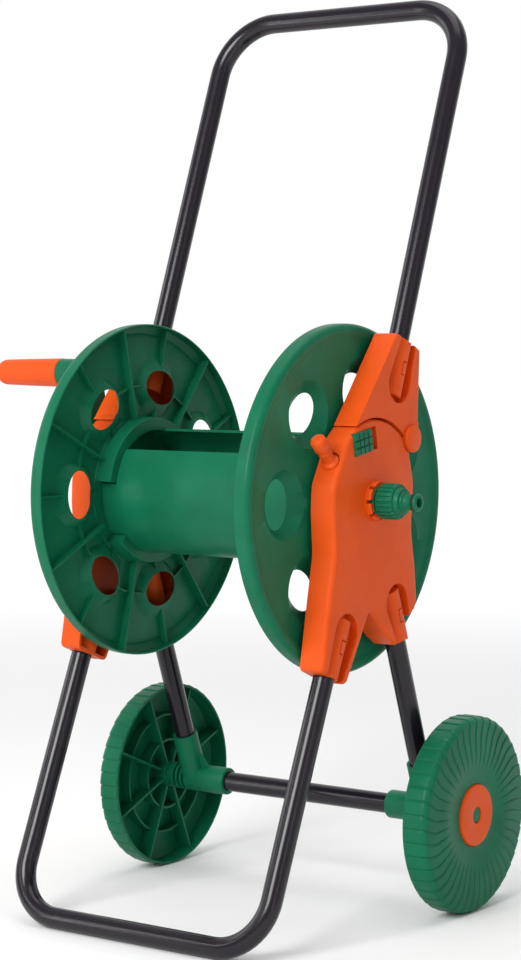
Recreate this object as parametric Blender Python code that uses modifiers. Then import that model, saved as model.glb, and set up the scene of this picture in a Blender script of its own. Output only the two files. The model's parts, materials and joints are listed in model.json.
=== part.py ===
"""Garden hose reel cart.

A folding handle, a front hoop and two rear legs of bent steel tube plug into two moulded
side plates. The plates carry a winding drum with a crank on the left and a swivelling water
inlet on the right. Two wheels run on stub axles at the rear. Metres, +Z up, +X towards the
water inlet, the front hoop towards -Y, and the wheels towards +Y.
"""
import math

import bmesh
import bpy
from mathutils import Matrix, Vector

# Overall layout. Heights z are measured from the drum axis, and y from the drum axis too.
AXIS_HEIGHT = 0.407        # drum axis above the floor
LEG_X = 0.144              # tube centre line to the middle of the cart
HANDLE_TOP = 0.479         # centre line of the handle's top bar above the drum axis
HANDLE_LINE = (0.0023, 0.374)    # y at the drum axis, and lean dy/dz
FRONT_LINE = (0.0011, 0.426)
REAR_LINE = (0.0041, -0.370)
HANDLE_BEND = 0.056        # centre line radius of the handle's corners
HOOP_BEND = 0.050          # centre line radius of the front hoop's corners

# Tubes
TUBE_R = 0.010
TUBE_WALL = 0.0011
GAP = 0.0003               # between pieces that touch
TUBE_SIDES = 4             # bevel resolution: twelve sides

# Wheels
WHEEL_R = 0.096
WHEEL_INNER_X = LEG_X + 0.029    # inner edge of the tread
WHEEL_WIDTH = 0.027
WHEEL_SHOULDER = 0.0075    # radius between the flat tread and the outer face
WHEEL_CREST_R = 0.062      # highest ring of the outer face
WHEEL_WALL = 0.003
WHEEL_FACE_WALL = 0.0055   # thickest part of the outer face
WHEEL_RIBS = 8
HUB_R = 0.013
STUB_R = 0.0075            # stub axle
RUNNING = 0.0004           # radial clearance of turning pieces
CAP_R = 0.030
CAP_THICK = 0.0041

# Moulded side plates and handle brackets
SOCKET_WALL = 0.0025
PLATE_INNER_X = LEG_X - TUBE_R - 0.003
PLATE_OUTER_X = LEG_X + TUBE_R + SOCKET_WALL
PLATE_WALL = 0.003
MIN_ROUND = 0.0015         # smallest corner radius of an inset outline
SOCKET_R = TUBE_R + GAP + SOCKET_WALL
DOME_R = 0.076             # top of the side plate, round about the drum axis
SEAM = 0.0015              # between the dome and the handle bracket
POCKET_DEPTH = 0.0085      # recess round each tube cover
FRONT_MOUTH_Z = -0.160
REAR_MOUTH_Z = -0.140
HANDLE_MOUTH_Z = 0.149
SOCKET_DEPTH = 0.052       # along the tube
TUBE_STOP = 0.004          # solid end behind each tube

# Fold hinge of the handle
FOLD_PIN = (0.0627, 0.0557)
FOLD_PIN_R = 0.0045
FOLD_HEAD_R = 0.013
FOLD_HEAD_THICK = 0.0036
EAR_R = 0.012              # plate's ear inside the bracket
CHEEK_R = 0.0128           # bracket's cheek over the ear
CHEEK_X = PLATE_OUTER_X - 0.005
EAR_INNER_X = PLATE_INNER_X + 0.006

# Fold lock slider
LOCK_SIZE = (0.029, 0.021, 0.0085)
LOCK_CENTRE = (-0.023, 0.055)
LOCK_TILT = math.radians(10)
LOCK_TRAVEL = 0.010
LOCK_FLOOR_X = PLATE_OUTER_X - 0.0062

# Drum
FLANGE_R = 0.165
DRUM_SIDE_CLEARANCE = 0.003      # flange lip to side plate
LIP_X = PLATE_INNER_X - DRUM_SIDE_CLEARANCE
WEB_OUTER_X = LIP_X - 0.003
WEB = 0.0025
WEB_INNER_X = WEB_OUTER_X - WEB
RIM_X = LIP_X - 0.0155           # inner edge of the rim
COLLAR_X = LIP_X - 0.024         # end of the collar that holds the panels
COLLAR_R = 0.072
BARREL_R = 0.063
PANEL_WALL = 0.0028
PANEL_HALF_SPAN = math.radians(59)
TAB_HALF_SPAN = math.radians(25)
PANEL_MIDDLE = math.radians(196.5)    # middle of the front panel, from +Y
FLANGE_HOLES = 7
HOLE_RING_R = 0.104
HOLE_TANGENT = 0.022       # half length of each oval hole
HOLE_RADIAL = 0.0145       # half width
DISH_R = 0.0325
DISH_DEPTH = 0.009
RIB = 0.0022
FLANGE_STEPS = 28
BEARING_R = 0.014          # inlet spindle in the right hub
JOURNAL_R = 0.015          # left hub in the left plate

# Crank
CRANK_PIVOT = (-0.020, 0.116)    # grip axis from the drum axis
CRANK_HUB_X = PLATE_OUTER_X + 0.0068
CRANK_ARM_X = CRANK_HUB_X + 0.0047
CRANK_ARM_THICK = 0.010
CRANK_HUB_R = 0.018
CRANK_BOSS_R = 0.0145
CRANK_SQUARE = 0.015
GRIP_START_X = PLATE_OUTER_X + 0.0502
GRIP_LENGTH = 0.084
GRIP_R = 0.0145
GRIP_TIP_R = 0.013
SPINDLE_R = 0.006

# Water inlet
COLLAR_PETALS = 4          # slots across the petal ring
PETAL_R = 0.0188
PETAL_HEIGHT = 0.006
STUB_THREAD_R = 0.0131
ADAPTOR_X = PLATE_OUTER_X + 0.009
NUT_R = 0.017
NUT_LENGTH = 0.018
NIPPLE_R = 0.0076
NIPPLE_TIP_R = 0.0082
NIPPLE_BORE_R = 0.0045
ADAPTOR_LENGTH = 0.039

# Places that follow from the sizes above
AXLE_Z = WHEEL_R - AXIS_HEIGHT
AXLE_Y = REAR_LINE[0] + REAR_LINE[1] * AXLE_Z
HOOP_Z = TUBE_R - AXIS_HEIGHT
GRIP_END_X = GRIP_START_X + GRIP_LENGTH
ADAPTOR_END_X = ADAPTOR_X + ADAPTOR_LENGTH
ORIGIN_X = (GRIP_END_X - ADAPTOR_END_X) / 2
ORIGIN_Y = -(FRONT_LINE[0] + FRONT_LINE[1] * HOOP_Z - TUBE_R + AXLE_Y + WHEEL_R) / 2

GREEN = ((0.028, 0.215, 0.115, 1.0), 0.42, 0.0)
ORANGE = ((0.85, 0.125, 0.022, 1.0), 0.45, 0.0)
BLACK_STEEL = ((0.024, 0.019, 0.028, 1.0), 0.3, 0.4)
STEEL = ((0.55, 0.55, 0.55, 1.0), 0.3, 1.0)
RUBBER = ((0.012, 0.012, 0.012, 1.0), 0.8, 0.0)


def clear_scene():
    for obj in list(bpy.data.objects):
        bpy.data.objects.remove(obj, do_unlink=True)


def new_collection(name):
    collection = bpy.data.collections.new(name)
    bpy.context.scene.collection.children.link(collection)
    return collection


clear_scene()
CART = new_collection("garden_hose_reel_cart")
CUTTERS = new_collection("cutters")


def new_empty(name, location, parent=None):
    empty = bpy.data.objects.new(name, None)
    empty.location = location
    empty.parent = parent
    CART.objects.link(empty)
    return empty


DRUM_AXIS = new_empty("drum_axis", (ORIGIN_X, ORIGIN_Y, AXIS_HEIGHT))
FOLD_AXIS = new_empty("fold_axis", (0, FOLD_PIN[0], FOLD_PIN[1]), DRUM_AXIS)


def finish(obj, name, look, parent=None, location=(0, 0, 0)):
    """Names a piece, gives it a material of its own and places it under its parent."""
    obj.name = name
    obj.data.name = name
    merge_flat_faces(obj.data)
    material = bpy.data.materials.new(name)
    material.use_nodes = True
    shader = material.node_tree.nodes["Principled BSDF"]
    shader.inputs["Base Color"].default_value = look[0]
    shader.inputs["Roughness"].default_value = look[1]
    shader.inputs["Metallic"].default_value = look[2]
    obj.data.materials.clear()
    obj.data.materials.append(material)
    obj.data.shade_smooth()
    obj.data.set_sharp_from_angle(angle=math.radians(32))
    obj.parent = parent or DRUM_AXIS
    obj.location = location
    for collection in list(obj.users_collection):
        collection.objects.unlink(obj)
    CART.objects.link(obj)
    return obj


def merge_flat_faces(mesh):
    bm = bmesh.new()
    bm.from_mesh(mesh)
    bmesh.ops.dissolve_limit(bm, angle_limit=math.radians(0.2), verts=bm.verts, edges=bm.edges)
    bm.to_mesh(mesh)
    bm.free()


def scratch(mesh, name="piece"):
    obj = bpy.data.objects.new(name, mesh)
    CUTTERS.objects.link(obj)
    return obj


def baked(obj):
    """Replaces an object with a plain mesh of what its modifiers make."""
    graph = bpy.context.evaluated_depsgraph_get()
    mesh = bpy.data.meshes.new_from_object(obj.evaluated_get(graph))
    mesh.transform(obj.matrix_world)
    bm = bmesh.new()
    bm.from_mesh(mesh)
    bmesh.ops.remove_doubles(bm, verts=bm.verts, dist=0.000002)
    bmesh.ops.recalc_face_normals(bm, faces=bm.faces)
    bm.to_mesh(mesh)
    bm.free()
    bpy.data.objects.remove(obj, do_unlink=True)
    return scratch(mesh)


def combine(target, other, operation):
    """One exact Boolean between two plain meshes; the second one is used up."""
    modifier = target.modifiers.new("boolean", "BOOLEAN")
    modifier.operation = operation
    modifier.solver = "EXACT"
    modifier.object = other
    bpy.context.view_layer.update()
    result = baked(target)
    bpy.data.objects.remove(other, do_unlink=True)
    return result


def join(target, *others):
    for other in others:
        target = combine(target, other, "UNION")
    return target


def cut(target, *others):
    for other in others:
        target = combine(target, other, "DIFFERENCE")
    return target


def mirrored(obj):
    """A copy on the other side of the cart's middle plane."""
    mesh = obj.data.copy()
    mesh.transform(Matrix.Scale(-1, 4, (1, 0, 0)))
    mesh.flip_normals()
    return scratch(mesh)


def flipped(obj):
    """The same object moved to the other side of the cart's middle plane."""
    obj.data.transform(Matrix.Scale(-1, 4, (1, 0, 0)))
    obj.data.flip_normals()
    return obj


def turned(profile, steps):
    """A closed profile of (x, radius) points turned about the X axis."""
    mesh = bpy.data.meshes.new("profile")
    count = len(profile)
    edges = [(i, (i + 1) % count) for i in range(count)
             if profile[i][1] > 0 or profile[(i + 1) % count][1] > 0]
    mesh.from_pydata([(x, r, 0) for x, r in profile], edges, [])
    obj = scratch(mesh)
    screw = obj.modifiers.new("screw", "SCREW")
    screw.axis = "X"
    screw.steps = steps
    screw.render_steps = steps
    screw.use_merge_vertices = True
    screw.merge_threshold = 0.00001
    bpy.context.view_layer.update()
    return baked(obj)


def tube_x(x0, x1, outer, inner, steps=20):
    return turned([(x0, inner), (x0, outer), (x1, outer), (x1, inner)], steps)


def cylinder(start, end, radius, sides=16):
    """A solid cylinder or cone between two points."""
    start = Vector(start)
    end = Vector(end)
    bm = bmesh.new()
    bmesh.ops.create_cone(bm, cap_ends=True, segments=sides, radius1=radius, radius2=radius,
                          depth=(end - start).length)
    turn = Vector((0, 0, 1)).rotation_difference(end - start).to_matrix().to_4x4()
    bmesh.ops.transform(bm, matrix=Matrix.Translation((start + end) / 2) @ turn, verts=bm.verts)
    mesh = bpy.data.meshes.new("cylinder")
    bm.to_mesh(mesh)
    bm.free()
    return scratch(mesh)


def box(low, high, turn=0.0, about=(0, 0)):
    """A box, turned about an axis along X through the point about in Y and Z."""
    low = Vector(low)
    high = Vector(high)
    bm = bmesh.new()
    bmesh.ops.create_cube(bm, size=1.0)
    size = high - low
    pivot = Matrix.Translation((0, about[0], about[1]))
    matrix = pivot @ Matrix.Rotation(turn, 4, "X") @ pivot.inverted()
    matrix = matrix @ Matrix.Translation((low + high) / 2) @ Matrix.Diagonal((*size, 1))
    bmesh.ops.transform(bm, matrix=matrix, verts=bm.verts)
    mesh = bpy.data.meshes.new("box")
    bm.to_mesh(mesh)
    bm.free()
    return scratch(mesh)


def slab(outline, x0, x1):
    """A flat outline of (y, z) points as a plate between two x planes."""
    curve = bpy.data.curves.new("outline", "CURVE")
    curve.dimensions = "2D"
    curve.fill_mode = "BOTH"
    curve.extrude = (x1 - x0) / 2
    spline = curve.splines.new("POLY")
    spline.points.add(len(outline) - 1)
    for point, (y, z) in zip(spline.points, outline):
        point.co = (y, z, 0, 1)
    spline.use_cyclic_u = True
    obj = bpy.data.objects.new("outline", curve)
    obj.rotation_euler = (math.pi / 2, 0, math.pi / 2)
    obj.location = ((x0 + x1) / 2, 0, 0)
    CUTTERS.objects.link(obj)
    bpy.context.view_layer.update()
    return baked(obj)


def arc(centre, radius, start, end, count):
    """Points on an arc, with angles in radians measured from +Y towards +Z."""
    step = (end - start) / (count - 1)
    return [(centre[0] + radius * math.cos(start + step * i),
             centre[1] + radius * math.sin(start + step * i)) for i in range(count)]


def rounded(corners, steps=2):
    """An outline of (y, z, radius) corners with each corner replaced by an arc."""
    points = []
    count = len(corners)
    for i, (y, z, radius) in enumerate(corners):
        here = Vector((y, z))
        if radius == 0:
            points.append((y, z))
            continue
        before = (Vector(corners[i - 1][:2]) - here)
        after = (Vector(corners[(i + 1) % count][:2]) - here)
        half = before.angle(after) / 2
        reach = min(radius / math.tan(half), before.length * 0.45, after.length * 0.45)
        radius = reach * math.tan(half)
        start = here + before.normalized() * reach
        centre = here + (before.normalized() + after.normalized()).normalized() * (
            radius / math.sin(half))
        end = here + after.normalized() * reach
        first = math.atan2(start.y - centre.y, start.x - centre.x)
        last = math.atan2(end.y - centre.y, end.x - centre.x)
        sweep = (last - first + math.pi) % (2 * math.pi) - math.pi
        points += arc(centre, radius, first, first + sweep, steps + 1)
    return points


def inset(corners, distance):
    """Moves an anticlockwise outline of (y, z, radius) corners inwards, radii included."""
    moved = []
    count = len(corners)
    for i in range(count):
        here = Vector(corners[i][:2])
        into = (here - Vector(corners[i - 1][:2])).normalized()
        out = (Vector(corners[(i + 1) % count][:2]) - here).normalized()
        normal = Vector((-into.y - out.y, into.x + out.x)).normalized()
        spot = here + normal * (distance / normal.dot(Vector((-into.y, into.x))))
        radius = corners[i][2]
        if radius > 0:
            convex = into.x * out.y - into.y * out.x > 0
            radius = max(radius - distance, MIN_ROUND) if convex else radius + distance
        moved.append((spot.x, spot.y, radius))
    return moved


def along(line):
    """Unit vector (y, z) up a leaning tube."""
    return Vector((line[1], 1)).normalized()


def across(line):
    """Unit vector (y, z) square to a leaning tube, towards the rear."""
    up = along(line)
    return Vector((up.y, -up.x))


def on_line(line, z):
    return Vector((line[0] + line[1] * z, z))


def in_space(x, point):
    return Vector((x, point[0], point[1]))


def swept_tube(path):
    """A hollow round tube along a path of points."""
    curve = bpy.data.curves.new("tube", "CURVE")
    curve.dimensions = "3D"
    curve.bevel_depth = TUBE_R
    curve.bevel_resolution = TUBE_SIDES
    spline = curve.splines.new("POLY")
    spline.points.add(len(path) - 1)
    for point, spot in zip(spline.points, path):
        point.co = (*spot, 1)
    obj = bpy.data.objects.new("tube", curve)
    CUTTERS.objects.link(obj)
    bpy.context.view_layer.update()
    skin = baked(obj)
    wall = skin.modifiers.new("wall", "SOLIDIFY")
    wall.thickness = TUBE_WALL
    wall.offset = -1
    wall.use_even_offset = True
    bpy.context.view_layer.update()
    return baked(skin)


def hoop_path(line, open_z, bar_z, bend):
    """Centre line of a U-bent tube from one open end round the bar to the other."""
    up = along(line)
    direction = math.copysign(1, bar_z - open_z)
    bar = on_line(line, bar_z)
    corner = bar - up * direction * bend
    half = [in_space(LEG_X, on_line(line, open_z))]
    for i in range(6):
        angle = math.pi / 2 * i / 5
        spot = corner + up * direction * bend * math.sin(angle)
        half.append(in_space(LEG_X - bend + bend * math.cos(angle), spot))
    return half + [Vector((-p.x, p.y, p.z)) for p in reversed(half)]


def socket_end(line, mouth_z):
    """Point on a tube's axis where the tube stops inside its socket."""
    inward = math.copysign(1, -mouth_z)
    return on_line(line, mouth_z) + along(line) * inward * SOCKET_DEPTH


def socket_boss(line, mouth_z, reach=0.0):
    inward = along(line) * math.copysign(1, -mouth_z)
    start = on_line(line, mouth_z) - inward * reach
    end = socket_end(line, mouth_z) + inward * TUBE_STOP
    return cylinder(in_space(LEG_X, start), in_space(LEG_X, end), SOCKET_R)


def socket_bore(line, mouth_z):
    inward = along(line) * math.copysign(1, -mouth_z)
    start = on_line(line, mouth_z) - inward * 0.02
    end = socket_end(line, mouth_z) + inward * GAP
    return cylinder(in_space(LEG_X, start), in_space(LEG_X, end), TUBE_R + GAP)


def pocket_outline(line, mouth_z, margin=0.0):
    """Recess round a tube cover: round at its closed end, narrowing to the cover at the mouth."""
    inward = along(line) * math.copysign(1, -mouth_z)
    side = across(line)
    centre = on_line(line, mouth_z) + inward * (SOCKET_DEPTH - 0.009)
    centre = centre + Vector((math.copysign(0.002, line[1] * -mouth_z), 0))
    radius = TUBE_R + 0.0088 + margin
    mouth = on_line(line, mouth_z) - inward * 0.004
    half = SOCKET_R + margin
    first = math.atan2(side.y, side.x)
    turn = 1 if mouth_z < 0 else -1
    points = arc(centre, radius, first - turn * 0.15, first + turn * (math.pi + 0.15), 13)
    points += [tuple(mouth - side * half), tuple(mouth + side * half)]
    if turn < 0:
        points.reverse()
    return points


def plate_corners():
    """Side view of the lower housing, anticlockwise seen from outside the right plate."""
    front_side = across(FRONT_LINE)
    rear_side = across(REAR_LINE)
    front_mouth = on_line(FRONT_LINE, FRONT_MOUTH_Z)
    rear_mouth = on_line(REAR_LINE, REAR_MOUTH_Z)
    leg_half = TUBE_R + 0.012
    front_toe = front_mouth - front_side * leg_half
    front_heel = front_mouth + front_side * leg_half
    front_root = on_line(FRONT_LINE, FRONT_MOUTH_Z + 0.037) + front_side * (TUBE_R + 0.018)
    rear_toe = rear_mouth - rear_side * (TUBE_R + 0.008) + Vector((0, 0.006))
    rear_heel = rear_mouth + rear_side * (SOCKET_R - 0.0005)
    rear_step = on_line(REAR_LINE, REAR_MOUTH_Z + 0.021) + rear_side * (SOCKET_R - 0.0005)
    lug = on_line(REAR_LINE, REAR_MOUTH_Z + 0.022) + rear_side * (TUBE_R + 0.016)
    corners = [
        (-0.046, 0.058, 0.010),
        (-0.069, 0.016, 0.030),
        (-0.070, -0.010, 0.040),
        (-0.067, -0.047, 0.050),
        (-0.075, -0.086, 0.050),
        (*front_toe, 0.004),
        (*front_heel, 0.004),
        (*front_root, 0.030),
        (-0.007, -0.102, 0.005),
        (0.024, -0.131, 0.012),
        (*rear_toe, 0.006),
        (*rear_heel, 0.002),
        (*rear_step, 0.002),
        (*lug, 0.005),
        (0.076, -0.098, 0.020),
        (0.072, -0.064, 0.040),
        (0.0655, -0.030, 0.060),
        (0.069, 0.014, 0.040),
    ]
    dome = arc((0, 0), DOME_R, math.radians(38), math.radians(116), 10)
    return [(y, z, 0) for y, z in dome] + corners


def bracket_corners():
    """Side view of the handle bracket, anticlockwise seen from outside the right plate."""
    side = across(HANDLE_LINE)
    mouth = on_line(HANDLE_LINE, HANDLE_MOUTH_Z)
    front_top = mouth - side * (TUBE_R + 0.012)
    rear_top = mouth + side * (SOCKET_R - 0.0005)
    lug_root = rear_top - along(HANDLE_LINE) * 0.003
    rear_y = FOLD_PIN[0] + CHEEK_R
    corners = [
        (rear_y, FOLD_PIN[1] + 0.0145, 0.001),
        (rear_y + 0.003, HANDLE_MOUTH_Z - 0.009, 0.004),
        (rear_y - 0.001, HANDLE_MOUTH_Z - 0.0045, 0.003),
        (*lug_root, 0.001),
        (*rear_top, 0.002),
        (*front_top, 0.004),
    ]
    seam = arc((0, 0), DOME_R + SEAM, math.radians(115), math.radians(50), 9)
    return corners + [(y, z, 0) for y, z in seam] + [(0.057, 0.0675, 0)]


def moulded_shell(corners, sockets, keep):
    """A moulding open towards the drum: an outer skin with tube sockets and recesses.

    keep lists solids that stay inside the hollow, such as bosses and ribs.
    """
    body = slab(rounded(corners), PLATE_INNER_X, PLATE_OUTER_X)
    hollow = slab(rounded(inset(corners, PLATE_WALL)),
                  PLATE_INNER_X - 0.001, PLATE_OUTER_X - PLATE_WALL)
    floor_x = PLATE_OUTER_X - POCKET_DEPTH
    for line, mouth_z in sockets:
        hollow = cut(hollow, socket_boss(line, mouth_z, reach=0.002),
                     slab(pocket_outline(line, mouth_z, PLATE_WALL * 0.8),
                          floor_x - PLATE_WALL * 0.8, PLATE_OUTER_X))
        pocket = slab(pocket_outline(line, mouth_z), floor_x, PLATE_OUTER_X + 0.002)
        pocket = cut(pocket, socket_boss(line, mouth_z, reach=0.010))
        body = cut(body, pocket)
    hollow = cut(hollow, *keep)
    body = cut(body, hollow)
    return cut(body, *[socket_bore(line, mouth_z) for line, mouth_z in sockets])


def lock_box(margin, x0, x1, extra=0.0):
    """The fold lock's block, or the slot that it slides in."""
    y, z = LOCK_CENTRE
    return box((x0, y - LOCK_SIZE[0] / 2 - margin, z - LOCK_SIZE[1] / 2 - margin),
               (x1, y + LOCK_SIZE[0] / 2 + margin + extra, z + LOCK_SIZE[1] / 2 + margin),
               LOCK_TILT, LOCK_CENTRE)


PEG_FOOT = Vector((-0.0565, 0.0375))
PEG_DIRECTION = Vector((-0.72, 0.694)).normalized()
PEG_FLANGE_R = 0.0085
PEG_SHANK_R = 0.0050
PEG_SEAT = 0.001           # depth of the seat below the foot point


def peg_cylinder(start, end, radius):
    return cylinder(in_space(LEG_X, PEG_FOOT + PEG_DIRECTION * start),
                    in_space(LEG_X, PEG_FOOT + PEG_DIRECTION * end), radius)


def petal_ring(bore):
    """Slotted collar that snaps over the shaft in the middle of a side plate."""
    ring = tube_x(PLATE_OUTER_X - 0.001, PLATE_OUTER_X + PETAL_HEIGHT, PETAL_R, bore - 0.001)
    for i in range(COLLAR_PETALS):
        ring = cut(ring, box((PLATE_OUTER_X + 0.0015, -0.03, -0.0018),
                             (PLATE_OUTER_X + PETAL_HEIGHT + 0.001, 0.03, 0.0018),
                             math.pi * i / COLLAR_PETALS))
    return ring


def side_plate(bore, with_peg):
    inner_x = PLATE_INNER_X - 0.002
    keep = [cylinder((PLATE_INNER_X + 0.004, 0, 0), (PLATE_OUTER_X, 0, 0), bore + 0.005, 20),
            lock_box(PLATE_WALL * 0.8, LOCK_FLOOR_X - PLATE_WALL * 0.8, PLATE_OUTER_X,
                     LOCK_TRAVEL)]
    for turn in (150, 205, 325):
        keep.append(box((PLATE_INNER_X + 0.008, 0.010, -RIB / 2), (PLATE_OUTER_X, 0.085, RIB / 2),
                        math.radians(turn)))
    if with_peg:
        keep.append(peg_cylinder(-0.012, 0.010, PEG_FLANGE_R + 0.002))
    sockets = [(FRONT_LINE, FRONT_MOUTH_Z), (REAR_LINE, REAR_MOUTH_Z)]
    plate = moulded_shell(plate_corners(), sockets, keep)
    plate = cut(plate, lock_box(GAP, LOCK_FLOOR_X, PLATE_OUTER_X + 0.002, LOCK_TRAVEL))
    neck = slab([(0.048, 0.042), (0.0655, 0.0435), (0.071, 0.052), (0.052, 0.062)],
                EAR_INNER_X + 0.0005, CHEEK_X - 2 * GAP)
    plate = join(plate, neck, cylinder(in_space(EAR_INNER_X, FOLD_PIN),
                                       in_space(CHEEK_X, FOLD_PIN), EAR_R))
    plate = cut(plate,
                cylinder(in_space(CHEEK_X - GAP, FOLD_PIN),
                         in_space(PLATE_OUTER_X + 0.002, FOLD_PIN), CHEEK_R + 0.0014, 20),
                cylinder(in_space(inner_x, FOLD_PIN), in_space(CHEEK_X + 0.002, FOLD_PIN),
                         FOLD_PIN_R + GAP))
    plate = join(plate, petal_ring(bore))
    plate = cut(plate, cylinder((inner_x, 0, 0), (PLATE_OUTER_X + 0.01, 0, 0), bore, 20))
    if with_peg:
        plate = cut(plate, peg_cylinder(-PEG_SEAT, 0.02, PEG_FLANGE_R + 0.0008),
                    peg_cylinder(-0.02, 0.01, PEG_SHANK_R + GAP))
    return plate


def handle_bracket():
    bracket = moulded_shell(bracket_corners(), [(HANDLE_LINE, HANDLE_MOUTH_Z)], [])
    rear_y = FOLD_PIN[0] + CHEEK_R
    filler = slab([(0.0505, 0.0585), (0.0600, 0.0500), (rear_y - 0.001, 0.0560),
                   (rear_y - 0.0002, 0.0715), (0.0560, 0.0725)], CHEEK_X, PLATE_OUTER_X)
    bracket = cut(bracket, cylinder(in_space(PLATE_INNER_X - 0.002, FOLD_PIN),
                                    in_space(CHEEK_X, FOLD_PIN), EAR_R + 0.0008, 20))
    bracket = join(bracket, filler,
                   cylinder(in_space(CHEEK_X, FOLD_PIN), in_space(PLATE_OUTER_X, FOLD_PIN),
                            CHEEK_R, 20))
    return cut(bracket, cylinder(in_space(CHEEK_X - 0.005, FOLD_PIN),
                                 in_space(PLATE_OUTER_X + 0.002, FOLD_PIN), FOLD_PIN_R + GAP))


def fold_pin():
    face = PLATE_OUTER_X + GAP
    return turned([(EAR_INNER_X - 0.002, 0), (EAR_INNER_X - 0.002, FOLD_PIN_R), (face, FOLD_PIN_R),
                   (face, FOLD_HEAD_R), (face + FOLD_HEAD_THICK - 0.001, FOLD_HEAD_R),
                   (face + FOLD_HEAD_THICK, FOLD_HEAD_R - 0.001), (face + FOLD_HEAD_THICK, 0)], 20)


def hose_end_peg():
    """A plug on the plate's shoulder that the loose end of the hose is clipped on."""
    seat = -PEG_SEAT + GAP
    profile = [(-0.009, 0), (-0.009, PEG_SHANK_R), (seat, PEG_SHANK_R), (seat, PEG_FLANGE_R),
               (seat + 0.0025, PEG_FLANGE_R), (seat + 0.0035, 0.0058), (0.013, 0.0058),
               (0.0145, 0.0068), (0.016, 0.0068), (0.0175, 0.0060), (0.0185, 0.0076),
               (0.0300, 0.0076), (0.0325, 0.0052), (0.0333, 0)]
    peg = turned(profile, 14)
    turn = Vector((1, 0, 0)).rotation_difference(in_space(0, PEG_DIRECTION)).to_matrix().to_4x4()
    peg.data.transform(Matrix.Translation(in_space(LEG_X, PEG_FOOT)) @ turn)
    return peg


def dish_cone(base_r, tangent, radial, base_x, top_x, angle):
    """A loft from a circle on the web to an oval nearer the drum."""
    bm = bmesh.new()
    bmesh.ops.create_cone(bm, cap_ends=True, segments=10, radius1=base_r, radius2=1.0,
                          depth=base_x - top_x)
    for vert in bm.verts:
        if vert.co.z > 0:
            vert.co.x *= radial
            vert.co.y *= tangent
    flip = Matrix.Rotation(math.pi / 2, 4, "Y") @ Matrix.Rotation(math.pi, 4, "Y")
    bmesh.ops.transform(bm, matrix=flip, verts=bm.verts)
    bmesh.ops.transform(bm, matrix=Matrix.Rotation(math.pi / 2, 4, "X"), verts=bm.verts)
    place = Matrix.Rotation(angle, 4, "X") @ Matrix.Translation(
        ((base_x + top_x) / 2, HOLE_RING_R, 0))
    bmesh.ops.transform(bm, matrix=place, verts=bm.verts)
    mesh = bpy.data.meshes.new("dish")
    bm.to_mesh(mesh)
    bm.free()
    return scratch(mesh)


def sector(radius, wall, middle, half_span, x0, x1, count):
    outer = arc((0, 0), radius, middle - half_span, middle + half_span, count)
    inner = arc((0, 0), radius - wall, middle + half_span, middle - half_span, count)
    return slab(outer + inner, x0, x1)


def drum_flange(hub_profile):
    """A flange as it stands on the right, its outer side towards +X."""
    lip = FLANGE_R - 0.014
    inner = FLANGE_R - 0.0022
    profile = [
        (RIM_X, inner), (RIM_X, FLANGE_R), (LIP_X - 0.005, FLANGE_R), (LIP_X, FLANGE_R - 0.007),
        (WEB_OUTER_X, lip), (WEB_OUTER_X, COLLAR_R + 0.001),
    ] + hub_profile + [
        (COLLAR_X, BARREL_R - PANEL_WALL - GAP), (COLLAR_X, COLLAR_R),
        (WEB_INNER_X, COLLAR_R + 0.002), (WEB_INNER_X, lip + 0.001),
        (LIP_X - 0.0035, FLANGE_R - 0.009), (LIP_X - 0.007, inner),
    ]
    flange = turned(profile, FLANGE_STEPS)
    hole_x = WEB_OUTER_X - DISH_DEPTH
    pitch = 2 * math.pi / FLANGE_HOLES
    for i in range(FLANGE_HOLES):
        angle = math.pi + pitch * i
        flange = join(flange, dish_cone(DISH_R + 0.001, HOLE_TANGENT + 0.003, HOLE_RADIAL + 0.003,
                                        WEB_OUTER_X - 0.0005, hole_x - 0.0005, angle),
                      box((RIM_X + 0.0015, COLLAR_R - 0.002, -RIB / 2),
                          (WEB_INNER_X + 0.001, inner + 0.001, RIB / 2), angle + pitch / 2))
    for i in range(FLANGE_HOLES):
        angle = math.pi + pitch * i
        flange = cut(flange, dish_cone(DISH_R, HOLE_TANGENT, HOLE_RADIAL, WEB_OUTER_X + 0.0005,
                                       hole_x - 0.002, angle))
    for middle in (PANEL_MIDDLE, PANEL_MIDDLE + math.pi):
        slot = sector(COLLAR_R + 0.002, COLLAR_R + 0.004 - BARREL_R + PANEL_WALL, middle,
                      TAB_HALF_SPAN + 0.012, COLLAR_X - 0.001, WEB_INNER_X - GAP, 9)
        flange = cut(flange, slot)
    return flange


def right_flange():
    inner = BARREL_R - PANEL_WALL - GAP
    hub = [(WEB_OUTER_X + 0.004, inner + 0.001), (WEB_OUTER_X + 0.004, BEARING_R + RUNNING),
           (WEB_OUTER_X - 0.012, BEARING_R + RUNNING), (WEB_OUTER_X - 0.012, BEARING_R + 0.005),
           (WEB_OUTER_X + 0.001, BEARING_R + 0.005), (WEB_OUTER_X + 0.001, inner)]
    return drum_flange(hub)


def left_flange():
    """Built as a right-hand piece with a journal for the crank, then mirrored."""
    inner = BARREL_R - PANEL_WALL - GAP
    journal_end = CRANK_HUB_X - GAP
    hub = [(WEB_OUTER_X + 0.004, inner + 0.001), (WEB_OUTER_X + 0.004, JOURNAL_R + 0.004),
           (PLATE_INNER_X + 0.0035, JOURNAL_R + 0.004), (PLATE_INNER_X + 0.0035, JOURNAL_R),
           (journal_end, JOURNAL_R), (journal_end, 0.0), (WEB_OUTER_X + 0.001, 0.0),
           (WEB_OUTER_X + 0.001, inner)]
    flange = drum_flange(hub)
    half = CRANK_SQUARE / 2 + GAP
    shank_start = WEB_OUTER_X + 0.008
    flange = cut(flange, box((shank_start, -half, -half), (journal_end + 0.002, half, half)),
                 cylinder((WEB_OUTER_X - 0.002, 0, 0), (shank_start + 0.002, 0, 0), 0.0031, 16))
    return flipped(flange)


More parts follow.
